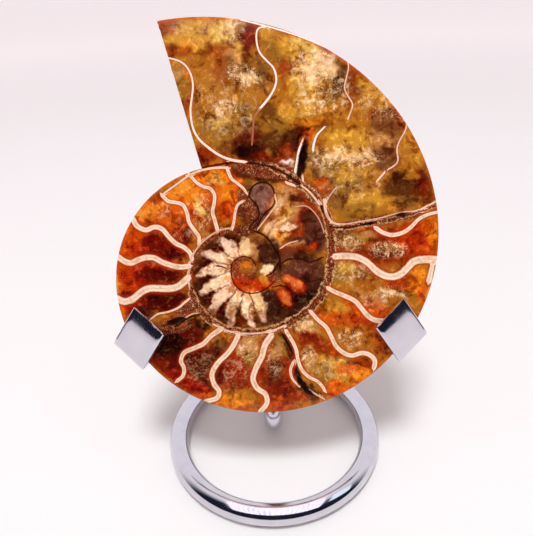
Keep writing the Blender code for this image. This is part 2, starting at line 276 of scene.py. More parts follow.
# Walls of the coil, a crumbly band of shell and matrix: width at both ends, tone, points
WALL_LINES = (
    (8.5, 10.0, 0.75, ((274, 168), (286, 174), (298, 182), (310, 192), (320, 203), (327, 216),
         (330, 232), (331.5, 246), (331, 262), (328.5, 279), (322.5, 293), (312, 307), (299, 317.5),
         (285, 325.5))),
    (8.5, 7.5, 0.6, ((285, 326), (270, 330.5), (253, 332.5), (236, 331.5), (221, 326.5), (208, 318),
         (198, 307), (191.5, 294))),
    (4.0, 5.0, 0.15, ((191.5, 294), (190, 280), (191, 266), (196, 253), (204, 243.5), (214, 236),
         (226, 231.5))),
    (6.0, 4.0, 0.7, ((334, 228), (352, 226.5), (370, 223.5), (392, 219.5), (412, 213.5), (434, 206))),
)

# Calcite petals of the inner coil, in layers: width at both ends, bulge between, mineral, and the
# share and points of each line
PETALS = (
    (11, 11, 0, "tan", (
        (0.7, ((248, 251), (237, 253), (228, 261), (224.5, 272),
               (227, 284), (235, 294), (246, 299), (257, 298))),
    )),
    (13, 8, 0.5, "cream", (
        (0.9, ((246, 257), (246, 248), (244, 238))),
    )),
    (9, 4, 0.4, "tan", (
        (0.7, ((252, 258), (254, 249), (252, 242))),
    )),
    (9.5, 5.5, 0.9, "bone", (
        (0.95, ((239, 258), (231, 249), (221, 241))),
        (0.9, ((234, 262), (221, 258), (207, 253))),
        (0.95, ((231, 268), (216, 268), (199, 273))),
        (0.95, ((231, 276), (217, 282), (202, 292))),
        (0.95, ((234, 284), (222, 295), (213, 307))),
        (0.95, ((240, 290), (233, 305), (232, 320))),
        (1.0, ((247, 293), (247, 309), (251, 325))),
    )),
    (8, 5, 0.8, "cream", (
        (0.95, ((255, 294), (260, 305), (264, 318))),
    )),
    (8, 6, 0.2, "shell", (
        (0.55, ((222, 243), (218, 240))),
        (0.55, ((210, 255), (204, 254))),
        (0.55, ((205, 271), (198, 274))),
        (0.55, ((207, 289), (201, 294))),
        (0.55, ((217, 302), (212, 310))),
        (0.55, ((232, 314), (231, 322))),
        (0.6, ((250, 316), (252, 327))),
        (0.6, ((262, 310), (265, 320))),
    )),
    (4, 3, 0.3, "amber", (
        (0.5, ((237, 257), (231, 250))),
        (0.5, ((232, 262), (224, 259))),
        (0.45, ((230, 269), (220, 268))),
        (0.5, ((230, 277), (221, 280))),
        (0.55, ((234, 285), (227, 291))),
        (0.5, ((240, 291), (235, 300))),
        (0.5, ((248, 294), (248, 303))),
    )),
    (5, 2, 0.4, "bone", (
        (0.9, ((232, 253), (226, 247), (221, 242))),
        (0.8, ((222, 259), (208, 254))),
        (0.8, ((219, 269), (203, 273))),
        (0.8, ((220, 281), (212, 286), (205, 291))),
        (0.8, ((222, 296), (216, 304))),
        (0.8, ((234, 303), (232, 318))),
        (0.9, ((247, 303), (248, 313), (250, 323))),
    )),
    (2.0, 1.2, 0, "fire", (
        (0.8, ((240, 255), (237, 247), (235, 239))),
    )),
    (1.8, 1.2, 0, "rust", (
        (0.75, ((235, 258), (224, 252), (211, 247))),
        (0.75, ((231, 264), (219, 263), (206, 263))),
        (0.75, ((230, 272), (218, 275), (205, 282))),
        (0.75, ((231, 281), (220, 288), (209, 299))),
    )),
    (1.8, 1.2, 0, "sienna", (
        (0.8, ((236, 288), (228, 299), (221, 312))),
    )),
    (1.8, 1.4, 0, "sienna", (
        (0.85, ((243, 293), (240, 305), (241, 320))),
        (0.85, ((251, 294), (254, 306), (257, 319))),
    )),
)

# Patches of colour: middle, half length, half width, turn in degrees, mineral, share
PATCHES = (
    # body chamber, from the mouth to the broken wall
    (300, 110, 170, 120, 0, "honey", 1.0),
    (190, 36, 34, 17, 0, "gold", 0.9),
    (230, 34, 16, 20, 60, "straw", 0.95),
    (235, 22, 10, 7, 0, "bone", 0.6),
    (164, 27, 8, 12, 70, "rust", 0.8),
    (176, 52, 20, 5, 10, "rust", 0.7),
    (185, 46, 12, 7, 0, "amber", 0.5),
    (250, 36, 18, 11, 75, "sienna", 0.95),
    (247, 52, 14, 9, 80, "oxblood", 0.7),
    (221, 66, 24, 15, 80, "rust", 0.6),
    (206, 70, 18, 10, 80, "honey", 0.7),
    (240, 72, 18, 15, 60, "moss", 0.8),
    (244, 78, 14, 6, 20, "cream", 0.7),
    (232, 54, 9, 6, 0, "tan", 0.7),
    (264, 72, 20, 9, 85, "moss", 0.8),
    (262, 80, 14, 6, 85, "umber", 0.5),
    (212, 98, 20, 16, 80, "honey", 0.8),
    (224, 108, 14, 8, 10, "cream", 0.35),
    (218, 128, 24, 16, 10, "olive", 0.8),
    (221, 120, 13, 6, 0, "straw", 0.5),
    (250, 128, 18, 10, 70, "umber", 0.85),
    (244, 112, 12, 10, 0, "olive", 0.7),
    (248, 147, 20, 15, 20, "oxblood", 0.9),
    (249, 150, 15, 11, 20, "dark", 0.9),
    (226, 150, 14, 7, 25, "umber", 0.7),
    (255, 160, 14, 7, 0, "oxblood", 0.9),
    (177, 82, 22, 11, 105, "olive", 0.9),
    (176, 76, 10, 5, 105, "tan", 0.7),
    (186, 104, 16, 6, 105, "rust", 0.8),
    (186, 70, 9, 4, 60, "orange", 0.7),
    (207, 156, 14, 8, 30, "rust", 0.95),
    (203, 163, 8, 5, 80, "oxblood", 0.8),
    (222, 160, 12, 4, 20, "sienna", 0.8),
    (287, 76, 28, 8, 85, "rust", 0.85),
    (275, 50, 14, 8, 60, "olive", 0.8),
    (272, 34, 12, 7, 20, "gold", 0.7),
    (292, 48, 18, 12, 25, "gold", 0.9),
    (306, 48, 22, 9, 22, "straw", 0.9),
    (326, 54, 14, 8, 25, "bone", 0.7),
    (302, 92, 22, 18, 80, "gold", 0.9),
    (312, 72, 12, 12, 0, "cream", 0.8),
    (330, 68, 10, 10, 0, "cream", 0.7),
    (330, 88, 16, 13, 80, "olive", 0.7),
    (296, 112, 24, 9, 0, "gold", 0.8),
    (308, 120, 22, 4, 0, "amber", 0.8),
    (308, 102, 8, 5, 20, "cream", 0.8),
    (268, 116, 16, 12, 60, "umber", 0.75),
    (277, 125, 16, 14, 0, "olive", 0.8),
    (280, 143, 24, 14, 0, "umber", 0.9),
    (292, 150, 12, 8, 0, "oxblood", 0.7),
    (300, 135, 12, 10, 60, "dark", 0.8),
    (275, 160, 24, 5, 0, "sienna", 0.9),
    (286, 155, 10, 6, 30, "rust", 0.7),
    # painted shade: black over the slit of the first vug
    (303, 153, 26, 5, 92, "dark", 1.0),
    (306, 128, 12, 5, 0, "oxblood", 0.8),
    (308, 137, 10, 4, 100, "orange", 0.8),
    (290, 166, 8, 5, 30, "white", 0.85),
    (292, 173, 9, 5, 80, "dark", 0.9),
    (318, 165, 16, 12, 60, "moss", 0.8),
    (340, 77, 22, 8, 95, "umber", 0.8),
    (354, 76, 24, 8, 85, "sienna", 0.8),
    (350, 104, 12, 7, 80, "sienna", 0.6),
    (374, 95, 22, 14, 55, "gold", 0.8),
    (366, 108, 16, 12, 0, "honey", 0.9),
    (372, 76, 22, 6, 40, "rust", 0.6),
    (398, 104, 16, 7, 55, "straw", 0.7),
    (386, 126, 20, 16, 0, "plum", 0.7),
    (374, 112, 8, 8, 0, "rust", 0.6),
    (404, 118, 16, 7, 60, "sienna", 0.9),
    (346, 140, 26, 15, 0, "gold", 0.9),
    (352, 156, 28, 6, -8, "cream", 0.8),
    (352, 122, 22, 9, 0, "honey", 0.8),
    (344, 178, 26, 18, 0, "olive", 0.9),
    (352, 172, 22, 8, 0, "gold", 0.8),
    (366, 200, 24, 11, -10, "gold", 0.85),
    (355, 210, 24, 8, -5, "olive", 0.8),
    (388, 158, 18, 14, 60, "plum", 0.8),
    (382, 140, 16, 10, 0, "tan", 0.6),
    (404, 186, 24, 13, 0, "umber", 0.9),
    (424, 182, 20, 10, 80, "sienna", 0.9),
    (410, 200, 18, 7, -10, "moss", 0.8),
    (414, 148, 22, 9, 70, "gold", 0.85),
    (405, 158, 14, 6, 80, "honey", 0.7),
    (425, 166, 14, 6, 70, "olive", 0.7),
    (432, 196, 12, 6, 80, "umber", 0.7),
    (326, 190, 14, 10, 20, "rust", 0.8),
    (322, 186, 8, 8, 0, "orange", 0.6),
    (336, 200, 12, 9, 0, "moss", 0.7),
    (330, 172, 10, 8, 0, "olive", 0.7),
    # last chambers on the right
    (385, 245, 62, 24, 0, "rust", 1.0),
    (350, 240, 22, 10, 0, "olive", 0.95),
    (347, 244, 12, 6, 10, "tan", 0.7),
    (368, 236, 10, 5, 0, "tan", 0.6),
    (388, 252, 20, 8, -5, "umber", 0.7),
    (390, 249, 14, 5, 10, "tan", 0.6),
    (418, 238, 26, 20, 0, "fire", 0.95),
    (428, 226, 9, 14, 0, "orange", 0.9),
    (428, 248, 12, 6, 0, "orange", 0.8),
    (436, 240, 26, 3, 88, "amber", 0.8),
    (382, 290, 66, 26, 0, "honey", 1.0),
    (344, 274, 16, 12, 0, "olive", 0.9),
    (352, 268, 10, 7, 0, "gold", 0.7),
    (366, 284, 16, 12, 0, "honey", 0.9),
    (366, 286, 9, 8, 0, "rust", 0.4),
    (374, 302, 18, 9, -15, "tan", 0.95),
    (392, 293, 14, 4, 10, "cream", 0.95),
    (386, 286, 14, 3, 10, "olive", 0.6),
    (404, 283, 22, 6, 0, "fire", 0.8),
    (420, 280, 14, 12, 0, "amber", 0.8),
    (424, 296, 14, 10, 80, "orange", 0.9),
    (429, 290, 16, 4, 95, "straw", 0.8),
    (356, 288, 14, 3, 30, "tan", 0.5),
    (350, 330, 60, 34, 0, "orange", 1.0),
    (330, 304, 18, 10, 20, "honey", 0.95),
    (340, 312, 14, 7, 30, "gold", 0.8),
    (350, 324, 24, 9, 0, "fire", 0.9),
    (374, 328, 12, 8, 0, "sienna", 0.5),
    (350, 340, 14, 9, 50, "gold", 0.9),
    (358, 334, 10, 7, 0, "honey", 0.8),
    (374, 342, 14, 9, 0, "fire", 0.9),
    (386, 350, 14, 8, -40, "sienna", 0.6),
    (330, 360, 60, 40, 0, "honey", 1.0),
    (306, 326, 16, 9, 20, "tan", 0.9),
    (310, 318, 12, 5, 40, "olive", 0.7),
    (314, 342, 20, 12, 20, "rust", 0.95),
    (310, 338, 10, 7, 0, "sienna", 0.8),
    (334, 352, 14, 6, 70, "fire", 0.7),
    (309, 358, 10, 8, 60, "tan", 0.8),
    (336, 368, 20, 12, 0, "gold", 0.9),
    (322, 372, 12, 8, 20, "olive", 0.6),
    (357, 366, 22, 7, -8, "orange", 0.9),
    (360, 361, 12, 5, 0, "rust", 0.8),
    (352, 380, 24, 6, -25, "amber", 0.8),
    (334, 387, 16, 8, -20, "orange", 0.9),
    # chambers at the bottom
    (280, 375, 24, 44, 0, "rust", 1.0),
    (277, 346, 10, 14, 0, "olive", 0.95),
    (274, 352, 6, 8, 0, "tan", 0.7),
    (287, 345, 5, 14, -20, "dark", 0.7),
    (274, 374, 10, 14, 0, "umber", 0.7),
    (280, 392, 20, 9, 0, "sienna", 0.9),
    (275, 404, 18, 5, 0, "orange", 0.8),
    (299, 373, 4, 11, -10, "dark", 0.95),
    (310, 393, 16, 8, 30, "umber", 0.9),
    (298, 398, 12, 6, 0, "rust", 0.8),
    (240, 375, 26, 44, 0, "rust", 1.0),
    (247, 348, 12, 12, 0, "tan", 0.9),
    (250, 356, 8, 10, 0, "olive", 0.8),
    (236, 374, 20, 10, 80, "garnet", 0.7),
    (240, 386, 12, 10, 0, "rust", 0.8),
    (238, 398, 22, 8, 5, "honey", 0.9),
    (232, 404, 20, 5, 8, "amber", 0.9),
    (200, 370, 30, 30, 0, "oxblood", 1.0),
    (217, 346, 14, 9, -40, "plum", 0.6),
    (214, 350, 8, 5, -40, "dark", 0.6),
    (200, 358, 14, 9, -20, "sienna", 0.8),
    (206, 362, 12, 8, 0, "umber", 0.8),
    (198, 374, 12, 9, 0, "umber", 0.7),
    (194, 384, 20, 7, 25, "garnet", 0.9),
    (206, 396, 14, 4, 20, "orange", 0.9),
    (176, 352, 32, 30, 0, "oxblood", 1.0),
    (168, 342, 18, 14, 0, "dark", 0.9),
    (176, 334, 16, 4, 15, "oxblood", 0.9),
    (174, 333, 8, 3, 25, "plum", 0.7),
    (190, 330, 20, 8, -20, "oxblood", 0.9),
    (176, 376, 14, 6, 35, "garnet", 0.9),
    (160, 362, 12, 5, 35, "sienna", 0.9),
    (196, 322, 16, 5, -20, "dark", 0.9),
    (178, 318, 18, 5, -20, "rust", 0.7),
    (190, 306, 12, 7, -35, "rust", 0.9),
    (186, 309, 9, 4, -35, "cream", 0.4),
    # chambers on the left, fiery rims round dark cores
    (150, 300, 44, 18, 0, "oxblood", 1.0),
    (166, 297, 20, 8, 0, "dark", 0.35),
    (128, 306, 13, 10, 0, "garnet", 1.0),
    (121, 310, 6, 14, 0, "fire", 0.8),
    (119, 312, 4, 12, 0, "amber", 0.7),
    (146, 277, 44, 15, 0, "garnet", 1.0),
    (162, 276, 28, 9, 0, "oxblood", 0.95),
    (174, 277, 12, 7, 0, "dark", 0.4),
    (126, 282, 11, 11, 0, "fire", 1.0),
    (134, 269, 16, 4, 0, "fire", 0.6),
    (119, 280, 5, 20, 0, "orange", 0.9),
    (116, 284, 3, 14, 0, "straw", 0.7),
    (150, 246, 46, 17, 12, "garnet", 1.0),
    (162, 248, 26, 10, 18, "oxblood", 0.7),
    (130, 240, 13, 17, 10, "fire", 1.0),
    (122, 240, 6, 18, 8, "orange", 0.9),
    (142, 237, 10, 5, 0, "orange", 0.5),
    (178, 256, 12, 6, 20, "dark", 0.5),
    (165, 218, 40, 22, 30, "rust", 1.0),
    (140, 213, 16, 12, -40, "orange", 1.0),
    (141, 209, 13, 9, -40, "amber", 0.9),
    (138, 215, 8, 5, 0, "straw", 0.6),
    (158, 207, 14, 8, -20, "amber", 0.8),
    (154, 216, 16, 6, 15, "amber", 0.6),
    (166, 203, 12, 5, 30, "orange", 0.8),
    (177, 217, 12, 12, 60, "oxblood", 1.0),
    (184, 234, 15, 11, 55, "oxblood", 0.95),
    (172, 228, 10, 6, 40, "garnet", 0.8),
    (190, 200, 44, 20, -45, "orange", 1.0),
    (178, 190, 18, 8, -35, "amber", 0.95),
    (187, 186, 14, 6, -30, "amber", 0.9),
    (194, 192, 14, 10, 0, "amber", 0.8),
    (204, 198, 9, 6, 60, "orange", 0.7),
    (202, 214, 13, 4, 80, "straw", 0.9),
    (197, 204, 9, 3, 60, "straw", 0.8),
    (196, 216, 8, 5, 60, "fire", 0.7),
    (208, 224, 7, 8, 0, "rust", 0.9),
    (204, 236, 6, 6, 0, "gold", 0.6),
    (228, 198, 15, 36, 0, "orange", 1.0),
    (214, 177, 16, 7, -10, "amber", 0.9),
    (213, 183, 9, 5, 0, "straw", 0.7),
    (228, 186, 10, 10, 0, "amber", 0.6),
    (224, 196, 10, 8, 0, "amber", 0.7),
    (223, 212, 12, 7, 80, "fire", 0.6),
    (238, 192, 7, 9, 0, "orange", 0.7),
    (226, 224, 9, 6, 0, "honey", 0.8),
    (216, 222, 3, 9, 0, "sienna", 0.7),
)

# Patches of the inner coil, laid with crisper edges: as above
COIL_PATCHES = (
    # matrix over the coil and the lens in it
    (262, 172, 36, 12, 5, "umber", 1.0),
    (270, 170, 26, 8, 5, "rust", 0.6),
    (269, 173, 6, 4, 0, "tan", 0.6),
    (248, 205, 13, 24, 0, "umber", 1.0),
    (247, 207, 9, 12, 0, "plum", 0.6),
    (244, 197, 5, 10, -20, "tan", 0.9),
    (262, 194, 13, 12, 0, "mauve", 1.0),
    (266, 205, 10, 11, 0, "mauve", 1.0),
    (262, 216, 6.5, 8, 35, "mauve", 1.0),
    (256, 224, 9, 5, -50, "plum", 1.0),
    (253, 212, 4, 9, -15, "sienna", 0.7),
    (253, 210, 3, 5, -15, "tan", 0.5),
    (246, 229, 15, 7, -12, "umber", 1.0),
    (246, 229, 13, 5, -12, "dark", 0.6),
    # second whorl, cloudy part on the upper right
    (296, 214, 32, 34, 0, "rust", 1.0),
    (286, 208, 15, 22, 20, "tan", 0.75),
    (281, 198, 12, 6, -40, "tan", 0.8),
    (279, 206, 4, 10, 25, "cream", 0.7),
    (283, 212, 10, 5, -30, "amber", 0.4),
    (276, 228, 14, 5, -20, "tan", 0.8),
    (284, 190, 12, 4, 10, "tan", 0.5),
    (297, 199, 9, 5, 15, "sienna", 0.9),
    (297, 199, 7, 3.5, 15, "slate", 0.8),
    (288, 212, 9, 3.5, -20, "straw", 0.7),
    (289, 227, 10, 3, -18, "bone", 0.95),
    (282, 220, 9, 2.6, -35, "cream", 0.85),
    (268, 226, 10, 3.5, -50, "cream", 0.85),
    (276, 240, 10, 3.5, 58, "cream", 0.7),
    (285, 236, 8, 2.2, -30, "straw", 0.7),
    (276, 237, 9, 5, 60, "amber", 0.5),
    (273, 232, 9, 3, -60, "cream", 0.7),
    (307, 217, 9, 11, 10, "sienna", 1.0),
    (308, 217, 7, 9, 10, "slate", 0.8),
    (316, 234, 13, 22, 0, "plum", 1.0),
    (305, 242, 18, 8, 0, "plum", 1.0),
    (290, 253, 18, 8, 0, "plum", 0.9),
    (286, 247, 12, 5, -10, "rust", 0.7),
    (296, 244, 10, 2.5, -10, "tan", 0.8),
    (298, 250, 7, 2.5, 5, "rust", 0.8),
    (303, 248, 12, 4.5, 12, "rust", 0.7),
    (313, 246, 6, 4, -40, "fire", 0.85),
    # second whorl, plum and umber part on the right and bottom
    (305, 282, 25, 32, 0, "slate", 1.0),
    (304, 268, 24, 9, 0, "plum", 1.0),
    (314, 275, 10, 8, 0, "plum", 0.5),
    (304, 304, 20, 10, -40, "dark", 0.8),
    (284, 312, 24, 11, -10, "slate", 0.9),
    (270, 316, 12, 8, 0, "plum", 0.6),
    (270, 300, 15, 14, 0, "slate", 1.0),
    (284, 309, 26, 11, -20, "dark", 0.45),
    (276, 268, 10, 12, 0, "slate", 0.9),
    (294, 283, 14.5, 8.5, 28, "sienna", 1.0),
    (294, 283, 13, 7, 28, "fire", 1.0),
    (292, 281, 11, 5, 28, "salmon", 0.9),
    (285, 297, 13, 8, 60, "sienna", 1.0),
    (285, 297, 11.5, 6.5, 60, "fire", 1.0),
    (285, 298, 9, 4.5, 60, "salmon", 0.9),
    (268, 252, 15, 16, 0, "slate", 1.0),
    (265, 247, 12, 9, 0, "moss", 0.12),
    (256, 240, 7, 6, 0, "plum", 0.7),
    # dark wall of the inner whorl and its ground
    (226, 276, 33, 50, 0, "oxblood", 1.0),
    (226, 276, 33, 50, 0, "dark", 0.65),
    (204, 248, 18, 5, -48, "umber", 0.6),
    (196, 272, 5, 22, 0, "slate", 0.6),
    (202, 296, 8, 18, 20, "dark", 0.7),
    (216, 318, 18, 5, 35, "oxblood", 0.6),
    (228, 322, 14, 5, 20, "dark", 0.8),
    (246, 324, 22, 6, 0, "oxblood", 0.8),
    (262, 322, 14, 6, 0, "umber", 0.8),
)

# Seed of the coil, laid over the petals
SEED = (
    (244, 268.5, 14, 13.5, 0, "sienna", 1.0),
    (246, 267, 10, 8, 0, "honey", 0.9),
    (246, 266, 6, 5, 0, "amber", 0.9),
    (236, 268, 4, 7, 0, "rust", 0.8),
    (242, 283, 12, 9, 40, "fire", 1.0),
    (256, 286, 13, 7, -10, "fire", 1.0),
    (250, 289, 8, 4, 10, "orange", 0.8),
    (268, 281, 9, 8, 20, "orange", 0.95),
    (264, 279, 5, 5, 0, "gold", 0.7),
    (273, 276, 6, 6, 0, "sienna", 0.8),
    (265, 269.5, 4.5, 4.5, 0, "bone", 1.0),
    (269.5, 268.5, 4, 4, 0, "bone", 1.0),
    (267, 272.5, 3.5, 2.5, 0, "cream", 1.0),
)

# Where pale crystals crowd: middle, half length, half width, turn, share
CRYSTALS = (
    (225, 105, 36, 36, 0, 0.35),
    (243, 76, 20, 12, 20, 1.0),
    (225, 108, 16, 9, 0, 1.0),
    (312, 70, 24, 22, 0, 0.9),
    (310, 103, 18, 14, 0, 0.9),
    (330, 90, 24, 24, 0, 0.6),
    (345, 158, 40, 14, 0, 0.9),
    (380, 100, 26, 22, 0, 0.6),
    (400, 110, 14, 8, 50, 0.8),
    (350, 180, 34, 24, 0, 0.4),
    (195, 32, 30, 14, 0, 0.3),
    (232, 30, 14, 14, 0, 0.6),
    (345, 243, 20, 10, 0, 0.9),
    (388, 250, 22, 9, 0, 1.0),
    (350, 270, 22, 12, 0, 0.6),
    (390, 292, 18, 7, 0, 0.8),
    (372, 302, 20, 9, 0, 0.5),
    (350, 338, 16, 10, 0, 0.8),
    (306, 326, 14, 8, 0, 0.7),
    (308, 358, 10, 9, 0, 0.9),
    (335, 368, 22, 12, 0, 0.4),
    (248, 350, 12, 12, 0, 0.7),
    (274, 360, 10, 20, 0, 0.45),
    (236, 372, 14, 16, 0, 0.4),
    (200, 368, 18, 18, 0, 0.25),
    (202, 212, 10, 20, 0, 0.7),
    (158, 210, 16, 9, 0, 0.4),
    (182, 224, 18, 18, 0, 0.25),
    (195, 192, 26, 18, 0, 0.15),
)

# Where the stone is crumbly matrix: middle, half length, half width, turn, share
CRUMBS = (
    (266, 170, 36, 9, 5, 1.0),
    (244, 198, 6, 12, -15, 1.0),
    (248, 212, 10, 12, 0, 0.7),
    (246, 230, 15, 7, -12, 0.7),
    (295, 180, 14, 8, 30, 0.9),
    (312, 194, 14, 8, 45, 1.0),
    (385, 219, 50, 5, -8, 1.0),
    (340, 230, 12, 8, 0, 0.8),
    (188, 306, 14, 8, -35, 1.0),
    (206, 315, 14, 7, 30, 0.9),
    (172, 326, 24, 8, -10, 0.7),
    (330, 262, 5, 30, 0, 0.7),
    (244, 270, 14, 13, 0, 0.5),
    (274, 278, 8, 7, 0, 0.6),
)

# Clouds that bend the patches: a cell's size and the shift at a value of 1 in pixels, two layers
BROAD_BEND = (12, 5.0, (1.3, 5.1))
FINE_BEND = (4, 2.2, (9.7, 12.9))

# Edges of a patch and a petal: the shares of their size where they are gone and still whole; a
# petal is looked for within its reach in pixels
PATCH_EDGE = (1.15, 0.68)
PETAL_EDGE = (1.15, 0.6)
PETAL_REACH = 12.0

# Open vugs: across and up from the hub, length, width, depth, turn in degrees
VUGS = (
    (15.0 * MM, 25.6 * MM, 8.5 * MM, 1.9 * MM, 2.0 * MM, 79.0),
    (13.8 * MM, -30.0 * MM, 6.5 * MM, 1.6 * MM, 1.6 * MM, -53.0),
    (30.5 * MM, 9.9 * MM, 3.2 * MM, 0.8 * MM, 0.8 * MM, 9.0),
    (38.5 * MM, 11.6 * MM, 2.6 * MM, 0.9 * MM, 0.8 * MM, 12.0),
    (-17.2 * MM, -12.5 * MM, 5.0 * MM, 1.5 * MM, 1.2 * MM, 17.0),
)

# Mesh of the fossil
FACE_COLUMNS = 576
BACK_COLUMNS = FACE_COLUMNS // 2
SEAM_SHARE = UMBILICUS * WHORL_GROWTH
RIM_EDGE = (1.0, 0.9985, 0.996, 0.992, 0.986)
FLANK_START = 0.978
FLANK_LINES = 36
INNER_LINES = 14
WHORL_LINES = len(RIM_EDGE) + FLANK_LINES + INNER_LINES
SEAM_LINE = WHORL_LINES + len(RIM_EDGE) + FLANK_LINES - 1
FACE_WHORLS = 5
BACK_WHORLS = 2
RIM_ROUND = 0.35 * MM
VUG_GRAIN = 1.3 * MM
MOUTH_ROWS = 10
MOUTH_ROUGH = 0.5 * MM
MOUTH_GRAIN = 1.7 * MM
MOUTH_THIN = 3.0 * MM
HUB_ASIDE = 0.15 * MM
HAIR = 1e-7
SHARP_EDGE = math.radians(40)

# Mesh of the stand
RING_STEPS = 288
RING_SIDES = 64
POST_SIDES = 48
ARM_STEPS = 240


class Cloud:
    """Smooth random values between -1 and 1, on a lattice that repeats every 32 cells."""

    CELLS = 32

    def __init__(self, seed):
        self.values = np.random.default_rng(seed).uniform(-1, 1, (self.CELLS,) * 3)

    def at(self, places):
        """The lattice values round each place, blended by a smooth step along each axis."""
        low = np.floor(places).astype(int)
        part = places - low
        part = part * part * (3 - 2 * part)
        total = np.zeros(len(places))
        for corner in np.ndindex(2, 2, 2):
            share = np.prod(np.where(corner, part, 1 - part), axis=1)
            index = (low + corner) % self.CELLS
            total += share * self.values[index[:, 0], index[:, 1], index[:, 2]]
        return total

    def rough(self, places, octaves=3):
        """Octaves of the cloud, each twice as fine and half as strong."""
        return sum(self.at(places * 2**n + 7.3 * n) * 0.5**n for n in range(octaves))


CLOUD = Cloud(11)


def flat_places(spots, scale, layer):
    """Spots of a plane as places for a cloud, in a layer of their own."""
    return np.column_stack([spots[:, 0] / scale, spots[:, 1] / scale, np.full(len(spots), layer)])


def smooth_step(values, low, high):
    """0 before low, 1 after high, with a smooth rise between; low may be the greater."""
    share = np.clip((values - low) / (high - low), 0, 1)
    return share * share * (3 - 2 * share)


def mineral(name):
    """Colour of a mineral as the light that it gives back: its screen colour made linear."""
    share = np.array(MINERALS[name]) / 255
    return np.where(share <= 0.04045, share / 12.92, ((share + 0.055) / 1.055) ** 2.4)


def camera_axes():
    """Right, up and forward of the camera: pitched down, then turned and rolled a little."""
    forward = np.array([
        math.sin(CAMERA_YAW) * math.cos(CAMERA_PITCH),
        math.cos(CAMERA_YAW) * math.cos(CAMERA_PITCH),
        -math.sin(CAMERA_PITCH),
    ])
    right = np.array([math.cos(CAMERA_YAW), -math.sin(CAMERA_YAW), 0.0])
    up = np.cross(right, forward)
    rolled_right = math.cos(CAMERA_ROLL) * right + math.sin(CAMERA_ROLL) * up
    rolled_up = -math.sin(CAMERA_ROLL) * right + math.cos(CAMERA_ROLL) * up
    return rolled_right, rolled_up, forward


def picture_spots(places):
    """Where the camera sees each place: right and down from the picture's upper left corner."""
    right, up, forward = camera_axes()
    offset = places - (RING_CENTRE + CAMERA_FROM_RING)
    ahead = offset @ forward
    spots_x = PICTURE_WIDTH / 2 + FOCAL_PIXELS * (offset @ right) / ahead
    spots_y = PICTURE_HEIGHT / 2 - FOCAL_PIXELS * (offset @ up) / ahead
    return np.column_stack([spots_x, spots_y])


def face_places(across, up, depth):
    """Places over the table of points given on the leaning face."""
    across, up, depth = np.broadcast_arrays(across, up, depth)
    return (
        FACE_FOOT
        + across[..., None] * FACE_ACROSS
        + up[..., None] * FACE_UP
        - depth[..., None] * FACE_OUT
    )


def rim_radius(angle, turn):
    """Distance from the hub to the rim: a log spiral, drawn out a little upwards and sideways."""
    wobble = 1 + RIM_TILT * np.sin(angle) + RIM_SIDE * np.cos(angle) + RIM_OVAL * np.cos(2 * angle)
    return RIM_AT_MOUTH * WHORL_GROWTH**turn * wobble


def mouth_offset(share):
    """Angle by which the straight cut of the mouth falls behind the radial line through its foot."""
    aside = math.sin(MOUTH_SLANT) / max(share * WHORL_GROWTH, 1)
    return math.asin(aside) - MOUTH_SLANT


def spiral_line(turn, share):
    """Angle, radius and the rim's radius along a spiral line, its columns slanting to the mouth's cut."""
    angle = MOUTH_ANGLE + TURN * turn + (1 + turn) * mouth_offset(share)
    rim = rim_radius(angle, (angle - MOUTH_ANGLE) / TURN)
    return angle, rim * share, rim


def flank(inward):
    """Height of the flank over the face, 1 at its thickest, from the seam (inward 0) to the rim (1).

    One less a power of inward, raised to a root, falls to 0 at the rim. It is multiplied by a
    quarter circle that rises from the height of the whorl inside to 1 over the shoulder.
    """
    fall = (1 - np.clip(inward, 0, 1) ** FLANK_POWER) ** FLANK_ROUND
    inner = (SEAM_SHARE - UMBILICUS) / (1 - UMBILICUS)
    seam = (1 - inner**FLANK_POWER) ** FLANK_ROUND / WHORL_GROWTH
    rise = np.sqrt(1 - (1 - np.clip(inward / SHOULDER, 0, 1)) ** 2)
    return fall * (seam + (1 - seam) * rise)


def back_form(radius, angle):
    """Height of the shell's back over the face, and the rib phase and flank share there.

    The flank's height and the grooves between the ribs grow with the whorl. The grooves are a
    cosine round the coil, swept back by a half sine over the flank, and fade at both seams.
    """
    turn = np.mod((angle - MOUTH_ANGLE) / TURN, 1.0) - 1.0
    share = radius / rim_radius(angle, turn)
    inside = np.log(UMBILICUS / share) / math.log(WHORL_GROWTH)
    whorl = np.where(share < UMBILICUS - 1e-9, np.ceil(inside), 0)
    inward = (share * WHORL_GROWTH**whorl - UMBILICUS) / (1 - UMBILICUS)
    size = WHORL_GROWTH ** (turn - whorl)
    phase = RIBS * (angle - MOUTH_ANGLE) + RIB_SWEEP * np.sin(math.pi * inward)
    rib = 0.5 + 0.5 * np.cos(phase)
    fade = np.clip(inward / RIB_FADE, 0, 1) * np.clip((1 - inward) / RIB_FADE, 0, 1)
    height = size * (HALF_THICKNESS * flank(inward) - RIB_HEIGHT * rib * fade)
    height = np.where(share >= 1, 0.0, np.maximum(height, UMBILICUS_FLOOR))
    return height, phase, inward


def vug_shape(across, up):
    """Depth of the open vugs under the polished face, and a mask that is 1 inside them: each is
    an oval bowl, the root of one less the square of the distance, roughened by the cloud."""
    spots = np.column_stack([across, up])
    rough = CLOUD.rough(flat_places(spots, VUG_GRAIN, 3.7))
    depth = np.zeros(len(across))
    inside = np.zeros(len(across))
    for vug_across, vug_up, length, width, deep, turn in VUGS:
        turn = math.radians(turn)
        right = across - HUB_ACROSS - vug_across
        over = up - HUB_UP - vug_up
        along = (right * math.cos(turn) + over * math.sin(turn)) / (length / 2)
        aside = (over * math.cos(turn) - right * math.sin(turn)) / (width / 2)
        far = np.hypot(along, aside) + 0.3 * rough
        inside = np.maximum(inside, smooth_step(far, 1.12, 0.9))
        bowl = np.sqrt(np.clip(1 - far**2, 0, 1)) * (0.85 + 0.3 * rough)
        depth = np.maximum(depth, deep * bowl)
    return depth, inside


